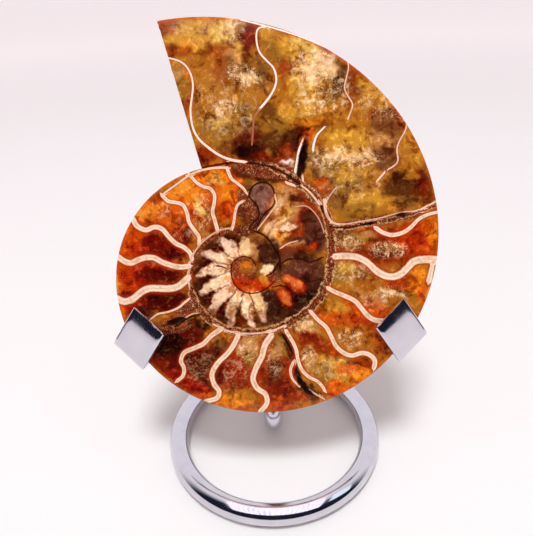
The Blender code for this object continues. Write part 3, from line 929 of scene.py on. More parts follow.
class Weave:
    """Places and triangles of one piece, gathered line by line."""

    def __init__(self):
        self.places = []
        self.count = 0
        self.triangles = []
        self.finishes = []

    def add(self, places):
        """Adds a line of places and gives their ids."""
        ids = np.arange(self.count, self.count + len(places))
        self.places.append(places)
        self.count += len(places)
        return ids

    def keep(self, triangles, finish):
        """Keeps the triangles whose three corners differ."""
        first, second, third = triangles.T
        whole = (first != second) & (second != third) & (third != first)
        self.triangles.append(triangles[whole])
        self.finishes.append(np.full(int(whole.sum()), finish))

    def strip(self, one, two, finish=0, flip=False):
        """Triangles between two lines of ids; the first may have two steps to one of the second."""
        if len(one) == len(two):
            corners = ((one[:-1], one[1:], two[1:]), (one[:-1], two[1:], two[:-1]))
        else:
            left, middle, right = one[:-2:2], one[1::2], one[2::2]
            corners = ((left, middle, two[:-1]), (middle, two[1:], two[:-1]), (middle, right, two[1:]))
        triangles = np.concatenate([np.column_stack(corner) for corner in corners])
        self.keep(triangles[:, ::-1] if flip else triangles, finish)

    def fan(self, loop, middle, finish=0, flip=False):
        """Triangles from each step of a closed line of ids to one middle."""
        loop = np.asarray(loop)
        triangles = np.column_stack([loop, np.roll(loop, -1), np.full(len(loop), middle)])
        self.keep(triangles[:, ::-1] if flip else triangles, finish)

    def piece(self, name, finishes):
        """The mesh object of all lines, smooth but for its sharp edges."""
        places = np.concatenate(self.places).astype(np.float32)
        triangles = np.concatenate(self.triangles).astype(np.int32)
        mesh = bpy.data.meshes.new(name)
        mesh.vertices.add(len(places))
        mesh.vertices.foreach_set("co", places.ravel())
        mesh.loops.add(triangles.size)
        mesh.loops.foreach_set("vertex_index", triangles.ravel())
        mesh.polygons.add(len(triangles))
        mesh.polygons.foreach_set("loop_start", np.arange(0, triangles.size, 3, dtype=np.int32))
        for finish in finishes:
            mesh.materials.append(finish)
        mesh.polygons.foreach_set("material_index", np.concatenate(self.finishes).astype(np.int32))
        mesh.update(calc_edges=True)
        mesh.validate()
        mesh.shade_smooth()
        mesh.set_sharp_from_angle(angle=SHARP_EDGE)
        made = bpy.data.objects.new(name, mesh)
        bpy.context.scene.collection.objects.link(made)
        return made


def set_vectors(piece, name, *parts):
    """Stores three numbers for each point of a piece."""
    layer = piece.data.attributes.new(name, "FLOAT_VECTOR", "POINT")
    layer.data.foreach_set("vector", np.column_stack(parts).astype(np.float32).ravel())


def whorl_shares(whorls):
    """Lines of the spiral sheets as shares of the rim's radius, repeated for each whorl inwards."""
    flank_part = np.linspace(FLANK_START, SEAM_SHARE, FLANK_LINES)
    inner_part = np.linspace(SEAM_SHARE, 1 / WHORL_GROWTH, INNER_LINES + 2)[1:-1]
    one = np.concatenate([RIM_EDGE, flank_part, inner_part])
    return np.concatenate([one / WHORL_GROWTH**whorl for whorl in range(whorls)])


def spiral_lines(weave, shares, columns, seam, line_places, rim=None):
    """Ids of a spiral sheet's lines, the rim first.

    A line has half as many columns after each whorl inwards. From the line `seam` on, its last
    point is the first point of the line one whorl further out.
    """
    lines = []
    for number, share in enumerate(shares):
        if number == 0 and rim is not None:
            lines.append(rim)
            continue
        count = columns >> (max(number - 1, 0) // WHORL_LINES)
        turn = np.linspace(-1, 0, count + 1)
        if number >= seam:
            ids = weave.add(line_places(turn[:-1], share))
            ids = np.append(ids, lines[number - WHORL_LINES][0])
        else:
            ids = weave.add(line_places(turn, share))
        lines.append(ids)
    return lines


def face_line(turn, share):
    """Places of one spiral line of the polished face, its vugs sunk and its rim a quarter round."""
    angle, radius, rim = spiral_line(turn, share)
    across = HUB_ACROSS + radius * np.cos(angle)
    up = HUB_UP + radius * np.sin(angle)
    inside = np.clip(RIM_ROUND - rim * (1 - share), 0, RIM_ROUND)
    edge = RIM_ROUND - np.sqrt(RIM_ROUND**2 - inside**2)
    return face_places(across, up, edge + vug_shape(across, up)[0])


def back_line(turn, share):
    """Places of one spiral line of the shell's back, as high as its form and the rim's round.

    The form is read a hair inside the turn, so that both ends of a line are on their own whorl.
    """
    angle, radius, rim = spiral_line(turn, share)
    height = back_form(radius, angle - HAIR * np.sign(turn + 0.5))[0]
    across = HUB_ACROSS + radius * np.cos(angle)
    up = HUB_UP + radius * np.sin(angle)
    return face_places(across, up, np.hypot(height, RIM_ROUND))


def close_hub(weave, lines, depth, finish, flip):
    """Fills the last turn of a spiral sheet with a fan round a point beside the hub."""
    last = len(lines) - 1
    loop = list(lines[last]) + [line[0] for line in lines[last - WHORL_LINES + 1 : last]]
    aside = MOUTH_ANGLE - math.pi / 2
    across = HUB_ACROSS + HUB_ASIDE * math.cos(aside)
    up = HUB_UP + HUB_ASIDE * math.sin(aside)
    middle = weave.add(face_places(across, up, depth)[None])[0]
    weave.fan(loop, middle, finish, flip)


def mouth_wall(weave, face, back):
    """The broken end of the last whorl: rows from the face's edge to the back's edge, roughened."""
    low = [line[-1] for line in face[: WHORL_LINES + 1]]
    low = np.array(low + [line[0] for line in back[1 : SEAM_LINE - WHORL_LINES + 1]])
    high = np.array([line[-1] for line in back[: SEAM_LINE + 1]])
    places = np.concatenate(weave.places)
    cut = MOUTH_ANGLE - MOUTH_SLANT
    outward = -math.sin(cut) * FACE_ACROSS + math.cos(cut) * FACE_UP
    rows = [low]
    for row in range(1, MOUTH_ROWS):
        share = row / MOUTH_ROWS
        here = places[low[1:-1]] * (1 - share) + places[high[1:-1]] * share
        thick = np.linalg.norm(places[low[1:-1]] - places[high[1:-1]], axis=1)
        fade = np.sin(math.pi * share) * np.clip(thick / MOUTH_THIN, 0, 1)
        push = MOUTH_ROUGH * fade * CLOUD.rough(here / MOUTH_GRAIN)
        here = here + push[:, None] * outward
        rows.append(np.concatenate([low[:1], weave.add(here), low[-1:]]))
    rows.append(high)
    for one, two in zip(rows, rows[1:]):
        weave.strip(one, two, finish=2, flip=True)


def fossil_weave():
    """Face, back and mouth of the fossil as one closed sheet of triangles."""
    weave = Weave()
    shares = whorl_shares(FACE_WHORLS + 1)
    face_shares = shares[: FACE_WHORLS * WHORL_LINES + 1]
    face = spiral_lines(weave, face_shares, FACE_COLUMNS, WHORL_LINES, face_line)
    for one, two in zip(face, face[1:]):
        weave.strip(one, two)
    close_hub(weave, face, 0.0, finish=0, flip=False)
    back_shares = shares[: SEAM_LINE + BACK_WHORLS * WHORL_LINES + 1]
    back = spiral_lines(weave, back_shares, BACK_COLUMNS, SEAM_LINE, back_line, rim=face[0])
    for one, two in zip(back, back[1:]):
        weave.strip(one, two, finish=1, flip=True)
    close_hub(weave, back, UMBILICUS_FLOOR, finish=1, flip=True)
    mouth_wall(weave, face, back)
    return weave


def smooth_line(points, step=1.5):
    """A Catmull-Rom curve through the points, with a point about every step."""
    knots = np.array(points, float)
    knots = np.vstack([2 * knots[0] - knots[1], knots, 2 * knots[-1] - knots[-2]])
    runs = []
    for before, start, end, after in zip(knots, knots[1:], knots[2:], knots[3:]):
        count = max(2, int(np.hypot(*(end - start)) / step))
        t = np.linspace(0, 1, count, endpoint=False)[:, None]
        bend = (2 * before - 5 * start + 4 * end - after) * t**2
        twist = (3 * start - before - 3 * end + after) * t**3
        runs.append((2 * start + (end - before) * t + bend + twist) / 2)
    runs.append(knots[-2:-1])
    return np.vstack(runs)


def line_distance(spots, points, width_start, width_end, reach):
    """Ids of the spots near a line, and their distance from it, its half width, their side of it
    and how far along it they are."""
    run = smooth_line(points)
    near = ((spots > run.min(0) - reach) & (spots < run.max(0) + reach)).all(1)
    near = np.nonzero(near)[0]
    start = run[:-1]
    along = run[1:] - start
    offset = spots[near][:, None, :] - start
    t = np.clip((offset * along).sum(2) / (along**2).sum(1), 0, 1)
    gap = offset - t[..., None] * along
    distance = np.hypot(gap[..., 0], gap[..., 1])
    best = distance.argmin(1)
    rows = np.arange(len(near))
    share = (best + t[rows, best]) / len(start)
    half = (width_start + (width_end - width_start) * share) / 2
    nearest = offset[rows, best]
    side = np.sign(along[best, 0] * nearest[:, 1] - along[best, 1] * nearest[:, 0] + 1e-9)
    return near, distance[rows, best], half, side, share


def nearest_lines(spots, lines, reach=26.0, slack=1.4):
    """Three numbers for each spot from the line nearest to it, in half widths of that line.

    The signed distance is exact across a line but flips beyond its ends, so a plain distance
    less a little slack goes with it. The third is the line's tone.
    """
    signed = np.full(len(spots), 9.0)
    plain = np.full(len(spots), 9.0)
    tones = np.zeros(len(spots))
    for width_start, width_end, tone, points in lines:
        near, distance, half, side, run = line_distance(spots, points, width_start, width_end, reach)
        closer = distance / half < np.abs(signed[near])
        ids = near[closer]
        signed[ids] = (side * distance / half)[closer]
        plain[ids] = (np.maximum(distance - slack, 0) / half)[closer]
        tones[ids] = tone
    return signed, plain, tones


def patch_mask(spots, patch):
    """1 in the middle of an oval patch, fading to 0 past its edge."""
    middle_x, middle_y, long_half, wide_half, turn = patch
    turn = math.radians(turn)
    right = spots[:, 0] - middle_x
    down = spots[:, 1] - middle_y
    along = (right * math.cos(turn) + down * math.sin(turn)) / long_half
    aside = (down * math.cos(turn) - right * math.sin(turn)) / wide_half
    return smooth_step(np.hypot(along, aside), *PATCH_EDGE)


def lay_patches(colours, spots, patches):
    """Mixes each patch's mineral into the colours."""
    for *patch, name, share in patches:
        mask = (share * patch_mask(spots, patch))[:, None]
        colours += mask * (mineral(name) - colours)


def shifts(spots, size, shift, layers):
    """How far two rough clouds push each spot sideways and down."""
    return np.column_stack([CLOUD.rough(flat_places(spots, size, layer)) * shift for layer in layers])


def painted_face(spots):
    """Colours of the minerals at each spot: patches bent by broad and fine clouds, over them the
    inner coil's patches and petals, bent less so that they stay crisp, and the seed on top."""
    broad = shifts(spots, *BROAD_BEND)
    fine = shifts(spots, *FINE_BEND)
    colours = np.tile(mineral("honey"), (len(spots), 1))
    lay_patches(colours, spots + broad + fine, PATCHES)
    wisp = spots + 0.3 * broad + 0.8 * fine
    lay_patches(colours, wisp, COIL_PATCHES)
    for *widths, bulge, name, lines in PETALS:
        for share, points in lines:
            near, distance, half, side, run = line_distance(wisp, points, *widths, PETAL_REACH)
            half = half * (1 + bulge * np.sin(math.pi * run))
            mask = (share * smooth_step(distance / half, *PETAL_EDGE))[:, None]
            colours[near] += mask * (mineral(name) - colours[near])
    lay_patches(colours, spots + 0.6 * fine, SEED)
    return colours


def gathered(spots, patches):
    """The greatest share that any patch of a list has at each spot."""
    total = np.zeros(len(spots))
    for *patch, share in patches:
        total = np.maximum(total, share * patch_mask(spots, patch))
    return total


def mark_fossil(piece, places):
    """Stores the markings on the fossil's points, for its materials to read."""
    spots = picture_spots(places)
    offset = places - FACE_FOOT
    across = offset @ FACE_ACROSS
    up = offset @ FACE_UP
    depth = -(offset @ FACE_OUT)
    layer = piece.data.attributes.new("paint", "FLOAT_COLOR", "POINT")
    paint = np.column_stack([painted_face(spots), gathered(spots, CRYSTALS)])
    layer.data.foreach_set("color", paint.astype(np.float32).ravel())
    set_vectors(piece, "pale", *nearest_lines(spots, PALE_LINES))
    set_vectors(piece, "dark", *nearest_lines(spots, DARK_LINES))
    set_vectors(piece, "wall", *nearest_lines(spots, WALL_LINES))
    right = across - HUB_ACROSS
    over = up - HUB_UP
    radius = np.hypot(right, over)
    angle = np.arctan2(over, right)
    turn = np.mod((angle - MOUTH_ANGLE) / TURN, 1.0) - 1.0
    from_rim = (rim_radius(angle, turn) - radius) / MM
    set_vectors(piece, "ground", gathered(spots, CRUMBS), vug_shape(across, up)[1], from_rim)
    phase, inward = back_form(np.maximum(radius, 0.1 * MM), angle)[1:]
    set_vectors(piece, "growth", phase / TURN, inward, depth / MM)


def tube(weave, sections, closed):
    """Triangles round a row of like outlines; the row closes on itself or is fanned shut."""
    rings = [weave.add(section) for section in sections]
    looped = [np.append(ring, ring[0]) for ring in rings]
    pairs = list(zip(looped, looped[1:])) + ([(looped[-1], looped[0])] if closed else [])
    for one, two in pairs:
        weave.strip(one, two)
    if not closed:
        for ring, section, flip in ((rings[0], sections[0], True), (rings[-1], sections[-1], False)):
            middle = weave.add(section.mean(0)[None])[0]
            weave.fan(ring, middle, flip=flip)


def base_ring():
    """The ring: a circle of the rod's radius carried round, pressed flat where it meets the table."""
    around = np.linspace(0, TURN, RING_SIDES, endpoint=False)
    sections = []
    for angle in np.linspace(0, TURN, RING_STEPS, endpoint=False):
        out = RING_RADIUS + ROD_RADIUS * np.cos(around)
        height = np.maximum(ROD_RADIUS * (ROD_FLAT + np.sin(around)), 0)
        circle = np.column_stack([out * math.cos(angle), out * math.sin(angle), height])
        sections.append(RING_CENTRE + circle)
    weave = Weave()
    tube(weave, sections, closed=True)
    return weave


def post_line():
    """Centre line of the post: in along the table, round the elbow, up to the arms."""
    corner = RING_CENTRE + np.array([0, ELBOW_CORNER_Y, ROD_RADIUS + ROD_LIFT])
    back = ARM_LEVEL + ARM_THICKNESS / 2 + GAP + ROD_RADIUS
    top = face_places(0.0, APEX_UP, back)
    inward = np.array([0.0, 1.0, 0.0])
    rise = (top - corner) / np.linalg.norm(top - corner)
    turn = math.pi - math.acos(rise @ inward)
    tangent = ELBOW_RADIUS * math.tan(turn / 2)
    middle = (inward + rise) / np.linalg.norm(inward + rise)
    centre = corner + middle * (ELBOW_RADIUS / math.cos(turn / 2))
    first = (corner + inward * tangent - centre) / ELBOW_RADIUS
    last = (corner + rise * tangent - centre) / ELBOW_RADIUS
    t = np.linspace(0, 1, 33)[:, None]
    arc = (np.sin((1 - t) * turn) * first + np.sin(t * turn) * last) / math.sin(turn)
    start = np.array([corner[0], RING_CENTRE[1] + RING_RADIUS - ROD_RADIUS - GAP, corner[2]])
    bent = centre + ELBOW_RADIUS * arc
    run_in = start + np.linspace(0, 1, 24, endpoint=False)[:, None] * (bent[0] - start)
    rise_up = bent[-1] + np.linspace(0, 1, 80)[1:, None] * (top + rise * POST_ABOVE_APEX - bent[-1])
    return np.vstack([run_in, bent, rise_up])


def post():
    """The rod: a circle carried along its line, flared into the weld at the ring, domed on top."""
    line = post_line()
    run = np.gradient(line, axis=0)
    run /= np.linalg.norm(run, axis=1)[:, None]
    start_run = np.linalg.norm(line - line[0], axis=1)
    radius = ROD_RADIUS * (1 + WELD_FLARE * np.exp(-start_run / WELD_FADE))
    dome = np.radians(np.linspace(0, 84, 12))[1:]
    line = np.vstack([line, line[-1] + np.sin(dome)[:, None] * ROD_RADIUS * run[-1]])
    run = np.vstack([run, np.repeat(run[-1:], len(dome), axis=0)])
    radius = np.append(radius, ROD_RADIUS * np.cos(dome))
    around = np.linspace(0, TURN, POST_SIDES, endpoint=False)
    side = np.array([1.0, 0.0, 0.0])
    sections = []
    for centre, along, thick in zip(line, run, radius):
        over = np.cross(along, side)
        circle = np.cos(around)[:, None] * over + np.sin(around)[:, None] * side
        section = centre + thick * circle
        section[:, 2] = np.maximum(section[:, 2], 0.05 * MM)
        sections.append(section)
    weave = Weave()
    tube(weave, sections, closed=False)
    return weave


def arm_point(hand, along, aside):
    """Across and up of a point on an arm: along from the apex, aside over the width (-0.5 to 0.5)."""
    across = math.sin(ARM_SPREAD) * along - aside * ARM_WIDTH * math.cos(ARM_CUT)
    up = APEX_UP - math.cos(ARM_SPREAD) * along - aside * ARM_WIDTH * math.sin(ARM_CUT)
    return hand * across, up


def over_shell(hand, along):
    """The shell's greatest height under the arm's width, for each place along the arm."""
    across, up = arm_point(hand, along[:, None], np.linspace(-0.55, 0.55, 23))
    right = across - HUB_ACROSS
    over = up - HUB_UP
    return back_form(np.hypot(right, over), np.arctan2(over, right))[0].max(1)


def upper_hull(x, y):
    """Indices of the points that a string laid over them would touch."""
    laid = [0]
    for i in range(1, len(x)):
        while len(laid) > 1:
            one, two = laid[-2], laid[-1]
            slope = (y[i] - y[one]) / (x[i] - x[one])
            if y[two] > y[one] + slope * (x[two] - x[one]):
                break
            laid.pop()
        laid.append(i)
    return laid


def arm_line(hand):
    """Centre line of an arm as along and back: laid over the shell, folded round the rim, and back
    over the face as a lip that stands off a little more and more and dips again at its tip."""
    level = GAP + ARM_THICKNESS / 2
    last = TIP + LIP_REACH - ARM_THICKNESS / 2 - LIP_BEND
    along = np.linspace(0, last, ARM_STEPS)
    needed = over_shell(hand, along) + level
    needed[0] = ARM_LEVEL
    needed[-1] = max(needed[-1], HOOK_DEPTH - level)
    laid = upper_hull(along, needed)
    back = np.interp(along, along[laid], needed[laid])
    turn = np.linspace(0, math.pi / 2, 14)
    outer = np.column_stack([last + LIP_BEND * np.sin(turn), back[-1] - LIP_BEND * (1 - np.cos(turn))])
    turn = np.linspace(0, math.pi / 2 - math.atan(LIP_OPENS), 14)
    inner = np.column_stack([last + LIP_BEND * np.cos(turn), -level + LIP_BEND * (1 - np.sin(turn))])
    share = np.linspace(0, 1, 40)[1:]
    length = inner[-1, 0] - TIP
    lift = length * (LIP_OPENS * share - LIP_CLOSES * share**5)
    lip = np.column_stack([inner[-1, 0] - share * length, inner[-1, 1] - lift])
    return np.vstack([np.column_stack([along, back]), outer[1:], inner, lip])


def strip_outline():
    """The strip's cross-section with round edges, as share of width and offset over its middle."""
    wide = ARM_WIDTH / 2 - ARM_ROUND_OFF
    thick = ARM_THICKNESS / 2 - ARM_ROUND_OFF
    corner = np.radians(np.linspace(0, 90, 6))
    points = []
    for quarter, (width_sign, over_sign) in enumerate(((1, 1), (-1, 1), (-1, -1), (1, -1))):
        angle = corner + quarter * math.pi / 2
        points.append(np.column_stack([
            width_sign * wide + ARM_ROUND_OFF * np.cos(angle),
            over_sign * thick + ARM_ROUND_OFF * np.sin(angle),
        ]))
    outline = np.vstack(points)
    flat = np.linspace(wide, -wide, 14)[1:-1]
    top = np.column_stack([flat, np.full(len(flat), ARM_THICKNESS / 2)])
    bottom = -top
    outline = np.vstack([outline[:6], top, outline[6:18], bottom, outline[18:]])
    return outline[:, 0] / ARM_WIDTH, outline[:, 1]


def arm(hand):
    """A flat strip along the arm's line, cut upright at the apex and at a slant at its tip."""
    line = arm_line(hand)
    run = np.gradient(line, axis=0)
    run /= np.linalg.norm(run, axis=1)[:, None]
    aside, over = strip_outline()
    ragged = LIP_RAGGED * CLOUD.rough(flat_places(np.column_stack([aside, over]), 0.06, hand * 3.3))
    trims = [(len(line) - 1, inset) for inset in LIP_TRIMS]
    stations = [(i, 0.0) for i in range(len(line))] + trims
    sections = []
    for i, inset in stations:
        along, back = line[i]
        normal = run[i][1], -run[i][0]
        start = np.full(len(aside), along)
        if i == 0:
            start = (GAP / 2 + aside * ARM_WIDTH * math.cos(ARM_CUT)) / math.sin(ARM_SPREAD)
        if i == len(line) - 1:
            start = start - inset * 0.5 + ragged
        thinner = over * (1 - inset / (ARM_THICKNESS / 2))
        narrower = aside * (1 - inset / (ARM_WIDTH / 2))
        across, up = arm_point(hand, start + normal[0] * thinner, narrower)
        sections.append(face_places(across, up, back + normal[1] * thinner))
    weave = Weave()
    tube(weave, sections, closed=False)
    return weave


class Wire:
    """A number socket with arithmetic: each operation adds the Math node that does it."""

    def __init__(self, nodes, socket):
        self.nodes = nodes
        self.socket = socket

    def math(self, operation, *values):
        """The result of a Math node on the values."""
        return self.nodes.wire("ShaderNodeMath", 0, {"operation": operation}, dict(enumerate(values)))

    def __add__(self, other):
        return self.math("ADD", self, other)

    def __radd__(self, other):
        return self.math("ADD", other, self)

    def __sub__(self, other):
        return self.math("SUBTRACT", self, other)

    def __rsub__(self, other):
        return self.math("SUBTRACT", other, self)

    def __mul__(self, other):
        return self.math("MULTIPLY", self, other)

    def __rmul__(self, other):
        return self.math("MULTIPLY", other, self)

    def __truediv__(self, other):
        return self.math("DIVIDE", self, other)

    def size(self):
        """The value without its sign."""
        return self.math("ABSOLUTE", self)

    def most(self, other):
        """The greater of two values."""
        return self.math("MAXIMUM", self, other)

    def least(self, other):
        """The smaller of two values."""
        return self.math("MINIMUM", self, other)

    def wave(self):
        """The sine of the value."""
        return self.math("SINE", self)

    def between(self, low, high):
        """0 at low, 1 at high, with a smooth rise; low may be the greater."""
        settings = {"interpolation_type": "SMOOTHSTEP"}
        inputs = {"Value": self, "From Min": low, "From Max": high}
        return self.nodes.wire("ShaderNodeMapRange", 0, settings, inputs)


class Nodes:
    """The nodes of a material or of the world."""

    def __init__(self, tree):
        self.tree = tree

    def node(self, kind, settings=None, inputs=None):
        """A node of a kind: its settings first, then the values or links of its sockets."""
        made = self.tree.nodes.new(kind)
        for name, value in (settings or {}).items():
            setattr(made, name, value)
        for name, value in (inputs or {}).items():
            if isinstance(value, Wire):
                self.tree.links.new(value.socket, made.inputs[name])
            else:
                made.inputs[name].default_value = value
        return made

    def wire(self, kind, output=0, settings=None, inputs=None):
        """One output of a new node."""
        return Wire(self, self.node(kind, settings, inputs).outputs[output])

    def place(self, stretch=(1, 1, 1), turn=(0, 0, 0)):
        """Places on the object in millimetres, turned and stretched."""
        coordinates = self.wire("ShaderNodeTexCoord", "Object")
        scale = [1000 * amount for amount in stretch]
        inputs = {"Vector": coordinates, "Rotation": turn, "Scale": scale}
        return self.wire("ShaderNodeMapping", 0, None, inputs)

    def noise(self, place, scale, detail=4.0, rough=0.6, bent=0.0):
        """Cloudy noise from 0 to 1, with its scale in waves to the millimetre."""
        inputs = {"Vector": place, "Scale": scale, "Detail": detail}
        inputs |= {"Roughness": rough, "Distortion": bent}
        return self.wire("ShaderNodeTexNoise", "Fac", None, inputs)

    def cells(self, place, scale, output="Distance"):
        """Cells round scattered middles: the distance from the middle, or a colour for each cell."""
        return self.wire("ShaderNodeTexVoronoi", output, None, {"Vector": place, "Scale": scale})

    def grey(self, colour):
        """One number from a colour: its red part."""
        return self.wire("ShaderNodeSeparateColor", 0, None, {0: colour})

    def split(self, value, kind="ShaderNodeSeparateXYZ"):
        """The three numbers of a vector or a colour."""
        made = self.node(kind, None, {0: value})
        return [Wire(self, output) for output in list(made.outputs)[:3]]

    def parts(self, name):
        """The three numbers that each point of the piece keeps under a name."""
        return self.split(self.wire("ShaderNodeAttribute", "Vector", {"attribute_name": name}))

    def mix(self, share, one, two, blend="MIX"):
        """One colour turning to another, or blended with it, by a share."""
        settings = {"data_type": "RGBA", "blend_type": blend}
        values = [value if isinstance(value, Wire) else (*value, 1.0) for value in (one, two)]
        return self.wire("ShaderNodeMix", 2, settings, {0: share, 6: values[0], 7: values[1]})

    def bump(self, height, strength, distance):
        """The normal of a surface with fine relief."""
        inputs = {"Height": height, "Strength": strength, "Distance": distance}
        return self.wire("ShaderNodeBump", "Normal", None, inputs)


class Finish(Nodes):
    """The nodes of one material, round a single shader whose fixed values are set on it."""

    def __init__(self, name, **fixed):
        self.material = bpy.data.materials.new(name)
        self.material.use_nodes = True
        super().__init__(self.material.node_tree)
        self.shader = self.tree.nodes["Principled BSDF"]
        for socket, value in fixed.items():
            self.shader.inputs[socket.replace("_", " ")].default_value = value

    def set(self, socket, value):
        """Links a value to one of the shader's sockets."""
        self.tree.links.new(value.socket, self.shader.inputs[socket])


def stone_body(stone, place, paint, crystal):
    """The painted minerals as clouded calcite: dark and light marbling, grains, and tiny bright flecks
    painted as glints of light.
    """
    soft = stone.noise(place, 0.33, 7, 0.6, 0.9)
    fine = stone.noise(place, 0.7, 5, 0.56, 0.9)
    grain = stone.grey(stone.cells(place, 0.62, "Color"))
    small_grain = stone.grey(stone.cells(place, 1.5, "Color"))
    gloom = (soft - 0.5) * 3.6 + (fine - 0.5) * 1.3
    tone = (soft - 0.5) * 1.8 + (fine - 0.5) * 3.0
    tone = tone + ((grain - 0.5) * 0.5 + (small_grain - 0.5) * 0.5) * (crystal * 0.6 + 0.4)
    deep = stone.mix(1.0, paint, (0.36, 0.20, 0.115), "MULTIPLY")
    bright = stone.mix(1.0, paint, (1.7, 1.7, 1.5), "MULTIPLY")
    light = stone.mix(crystal * 0.5 + 0.08, bright, (1.0, 0.80, 0.46))
    colour = stone.mix(gloom.between(0.05, -0.62) * 0.92, paint, deep)
    colour = stone.mix(tone.between(0.08, 0.75) * 0.85, colour, light)
    vein = stone.noise(place, 0.42, 4, 0.5, 1.6)
    ridge = (vein - 0.5).size().between(0.022, 0.0)
    colour = stone.mix(ridge * crystal * 0.6, colour, (0.95, 0.84, 0.62))
    colour = stone.mix(ridge * (1.0 - crystal).most(0.0) * 0.28, colour, deep)
    spar = stone.noise(place, 0.5, 4, 0.55, 1.3)
    colour = stone.mix(spar.between(0.52, 0.68) * crystal * 0.7, colour, (0.94, 0.83, 0.64))
    # Painted glints: tiny bright specks where the crystals catch the light
    painted_glint_spots = stone.cells(place, 1.5).between(0.26, 0.12) * small_grain.between(0.6, 0.7)
    painted_glint = stone.mix(0.45, light, (1.0, 0.93, 0.80))
    return stone.mix(painted_glint_spots * (crystal * 0.7 + 0.05), colour, painted_glint), soft, fine


def septum_colour(stone, signed, across, tone, soft, fine):
    """Chamber walls: bone with a thin darker line along the middle and brighter margins, or
    plain white at the tone of 1."""
    bone = stone.mix(tone, mineral("rust"), (0.86, 0.72, 0.585))
    margin = (across - 0.72).size().between(0.3, 0.05)
    bone = stone.mix(margin * 0.7 * tone, bone, (0.95, 0.84, 0.70))
    white = tone.between(0.985, 0.995)
    middle = (signed.size() + (soft - 0.5) * 0.5).between(0.22, 0.04)
    bone = stone.mix(middle * 0.35 * (1 - white), bone, mineral("tan"))
    mottle = (fine - 0.5).between(0.03, -0.16)
    bone = stone.mix(mottle * 0.5 * (1 - white), bone, mineral("tan"))
    return stone.mix(white, bone, (0.92, 0.86, 0.78))


def deepened(stone, colour):
    """The polish deepens the colours: red a little stronger, green and blue raised to a power."""
    red, green, blue = stone.split(colour, "ShaderNodeSeparateColor")
    inputs = {0: red * 1.1, 1: green.math("POWER", green, 1.12), 2: blue.math("POWER", blue, 1.25)}
    return stone.wire("ShaderNodeCombineColor", 0, None, inputs)


def polished_face():
    """The sawn face: the stone's body with an orange glow painted along the rim, then the crumbly coil
    wall, dark seams and pale chamber walls over it, and the vugs painted near black as shade, all under a
    polish."""
    polish = {"Coat_Roughness": 0.03, "Coat_IOR": 1.5}
    stone = Finish("polished fossil", IOR=1.5, Specular_IOR_Level=0.12, **polish)
    place = stone.place()
    layer = stone.node("ShaderNodeAttribute", {"attribute_name": "paint"})
    paint = Wire(stone, layer.outputs["Color"])
    crystal = Wire(stone, layer.outputs["Alpha"])
    crumb, vug, from_rim = stone.parts("ground")
    colour, soft, fine = stone_body(stone, place, paint, crystal)
    # Painted glow: an orange glow of light painted along the last millimetre and a half inside the rim
    painted_rim_glow = stone.mix(0.5, colour, mineral("orange"))
    colour = stone.mix(from_rim.between(1.5, 0.1) * 0.7, colour, painted_rim_glow)

    ground = stone.noise(place, 1.3, 6, 0.8, 0.5)
    rubble = stone.mix(ground.between(0.4, 0.6), mineral("dark"), mineral("rust"))
    shard = stone.noise(place, 1.9, 5, 0.8, 1.3)
    rubble = stone.mix(shard.between(0.55, 0.63) * 0.95, rubble, mineral("cream"))
    rubble = stone.mix(shard.between(0.43, 0.36) * 0.9, rubble, (0.012, 0.006, 0.004))
    colour = stone.mix((crumb * (ground + 0.45)).least(1.0), colour, rubble)
    signed, plain, tone = stone.parts("wall")
    across = signed.size().most(plain) + (fine - 0.5) * 1.8
    outline = (across - 0.85).size().between(0.3, 0.05) * ground.between(0.38, 0.55)
    wall = stone.mix(outline * tone, rubble, mineral("cream"))
    colour = stone.mix(across.between(1.2, 0.95) * 0.95, colour, wall)

    signed, plain, tone = stone.parts("dark")
    across = signed.size().most(plain) + (fine - 0.5) * 0.8
    seam = stone.mix(tone, mineral("sienna"), (0.006, 0.003, 0.002))
    colour = stone.mix(across.between(1.35, 0.75) * 0.92, colour, seam)

    signed, plain, tone = stone.parts("pale")
    across = signed.size().most(plain) + (fine - 0.5) * 0.7
    halo = across.between(2.6, 1.0) * tone * 0.55
    colour = stone.mix(halo, colour, mineral("fire"))
    contour = (across - 1.25).size().between(0.35, 0.0) * 0.45 * tone
    colour = stone.mix(contour, colour, mineral("oxblood"))
    septum = septum_colour(stone, signed, across, tone, soft, fine)
    colour = stone.mix(across.between(1.28, 0.75), colour, septum)

    # Painted shade: the open vugs are coloured near black, standing in for the shade in their hollows,
    # with a few rusty grains
    painted_vug_shade = stone.mix(shard.between(0.6, 0.7) * 0.4, (0.008, 0.004, 0.003), mineral("rust"))
    colour = stone.mix(vug * 0.95, colour, painted_vug_shade)
    stone.set("Base Color", deepened(stone, colour))
    stone.set("Coat Weight", 0.35 - vug * 0.35)
    stone.set("Roughness", crumb * 0.2 + vug * 0.4 + fine * 0.08 + 0.14)
    relief = ground * crumb + shard * vug * 1.5 + fine * 0.04
    stone.set("Normal", stone.bump(relief, 0.3, 0.0003))
    return stone.material


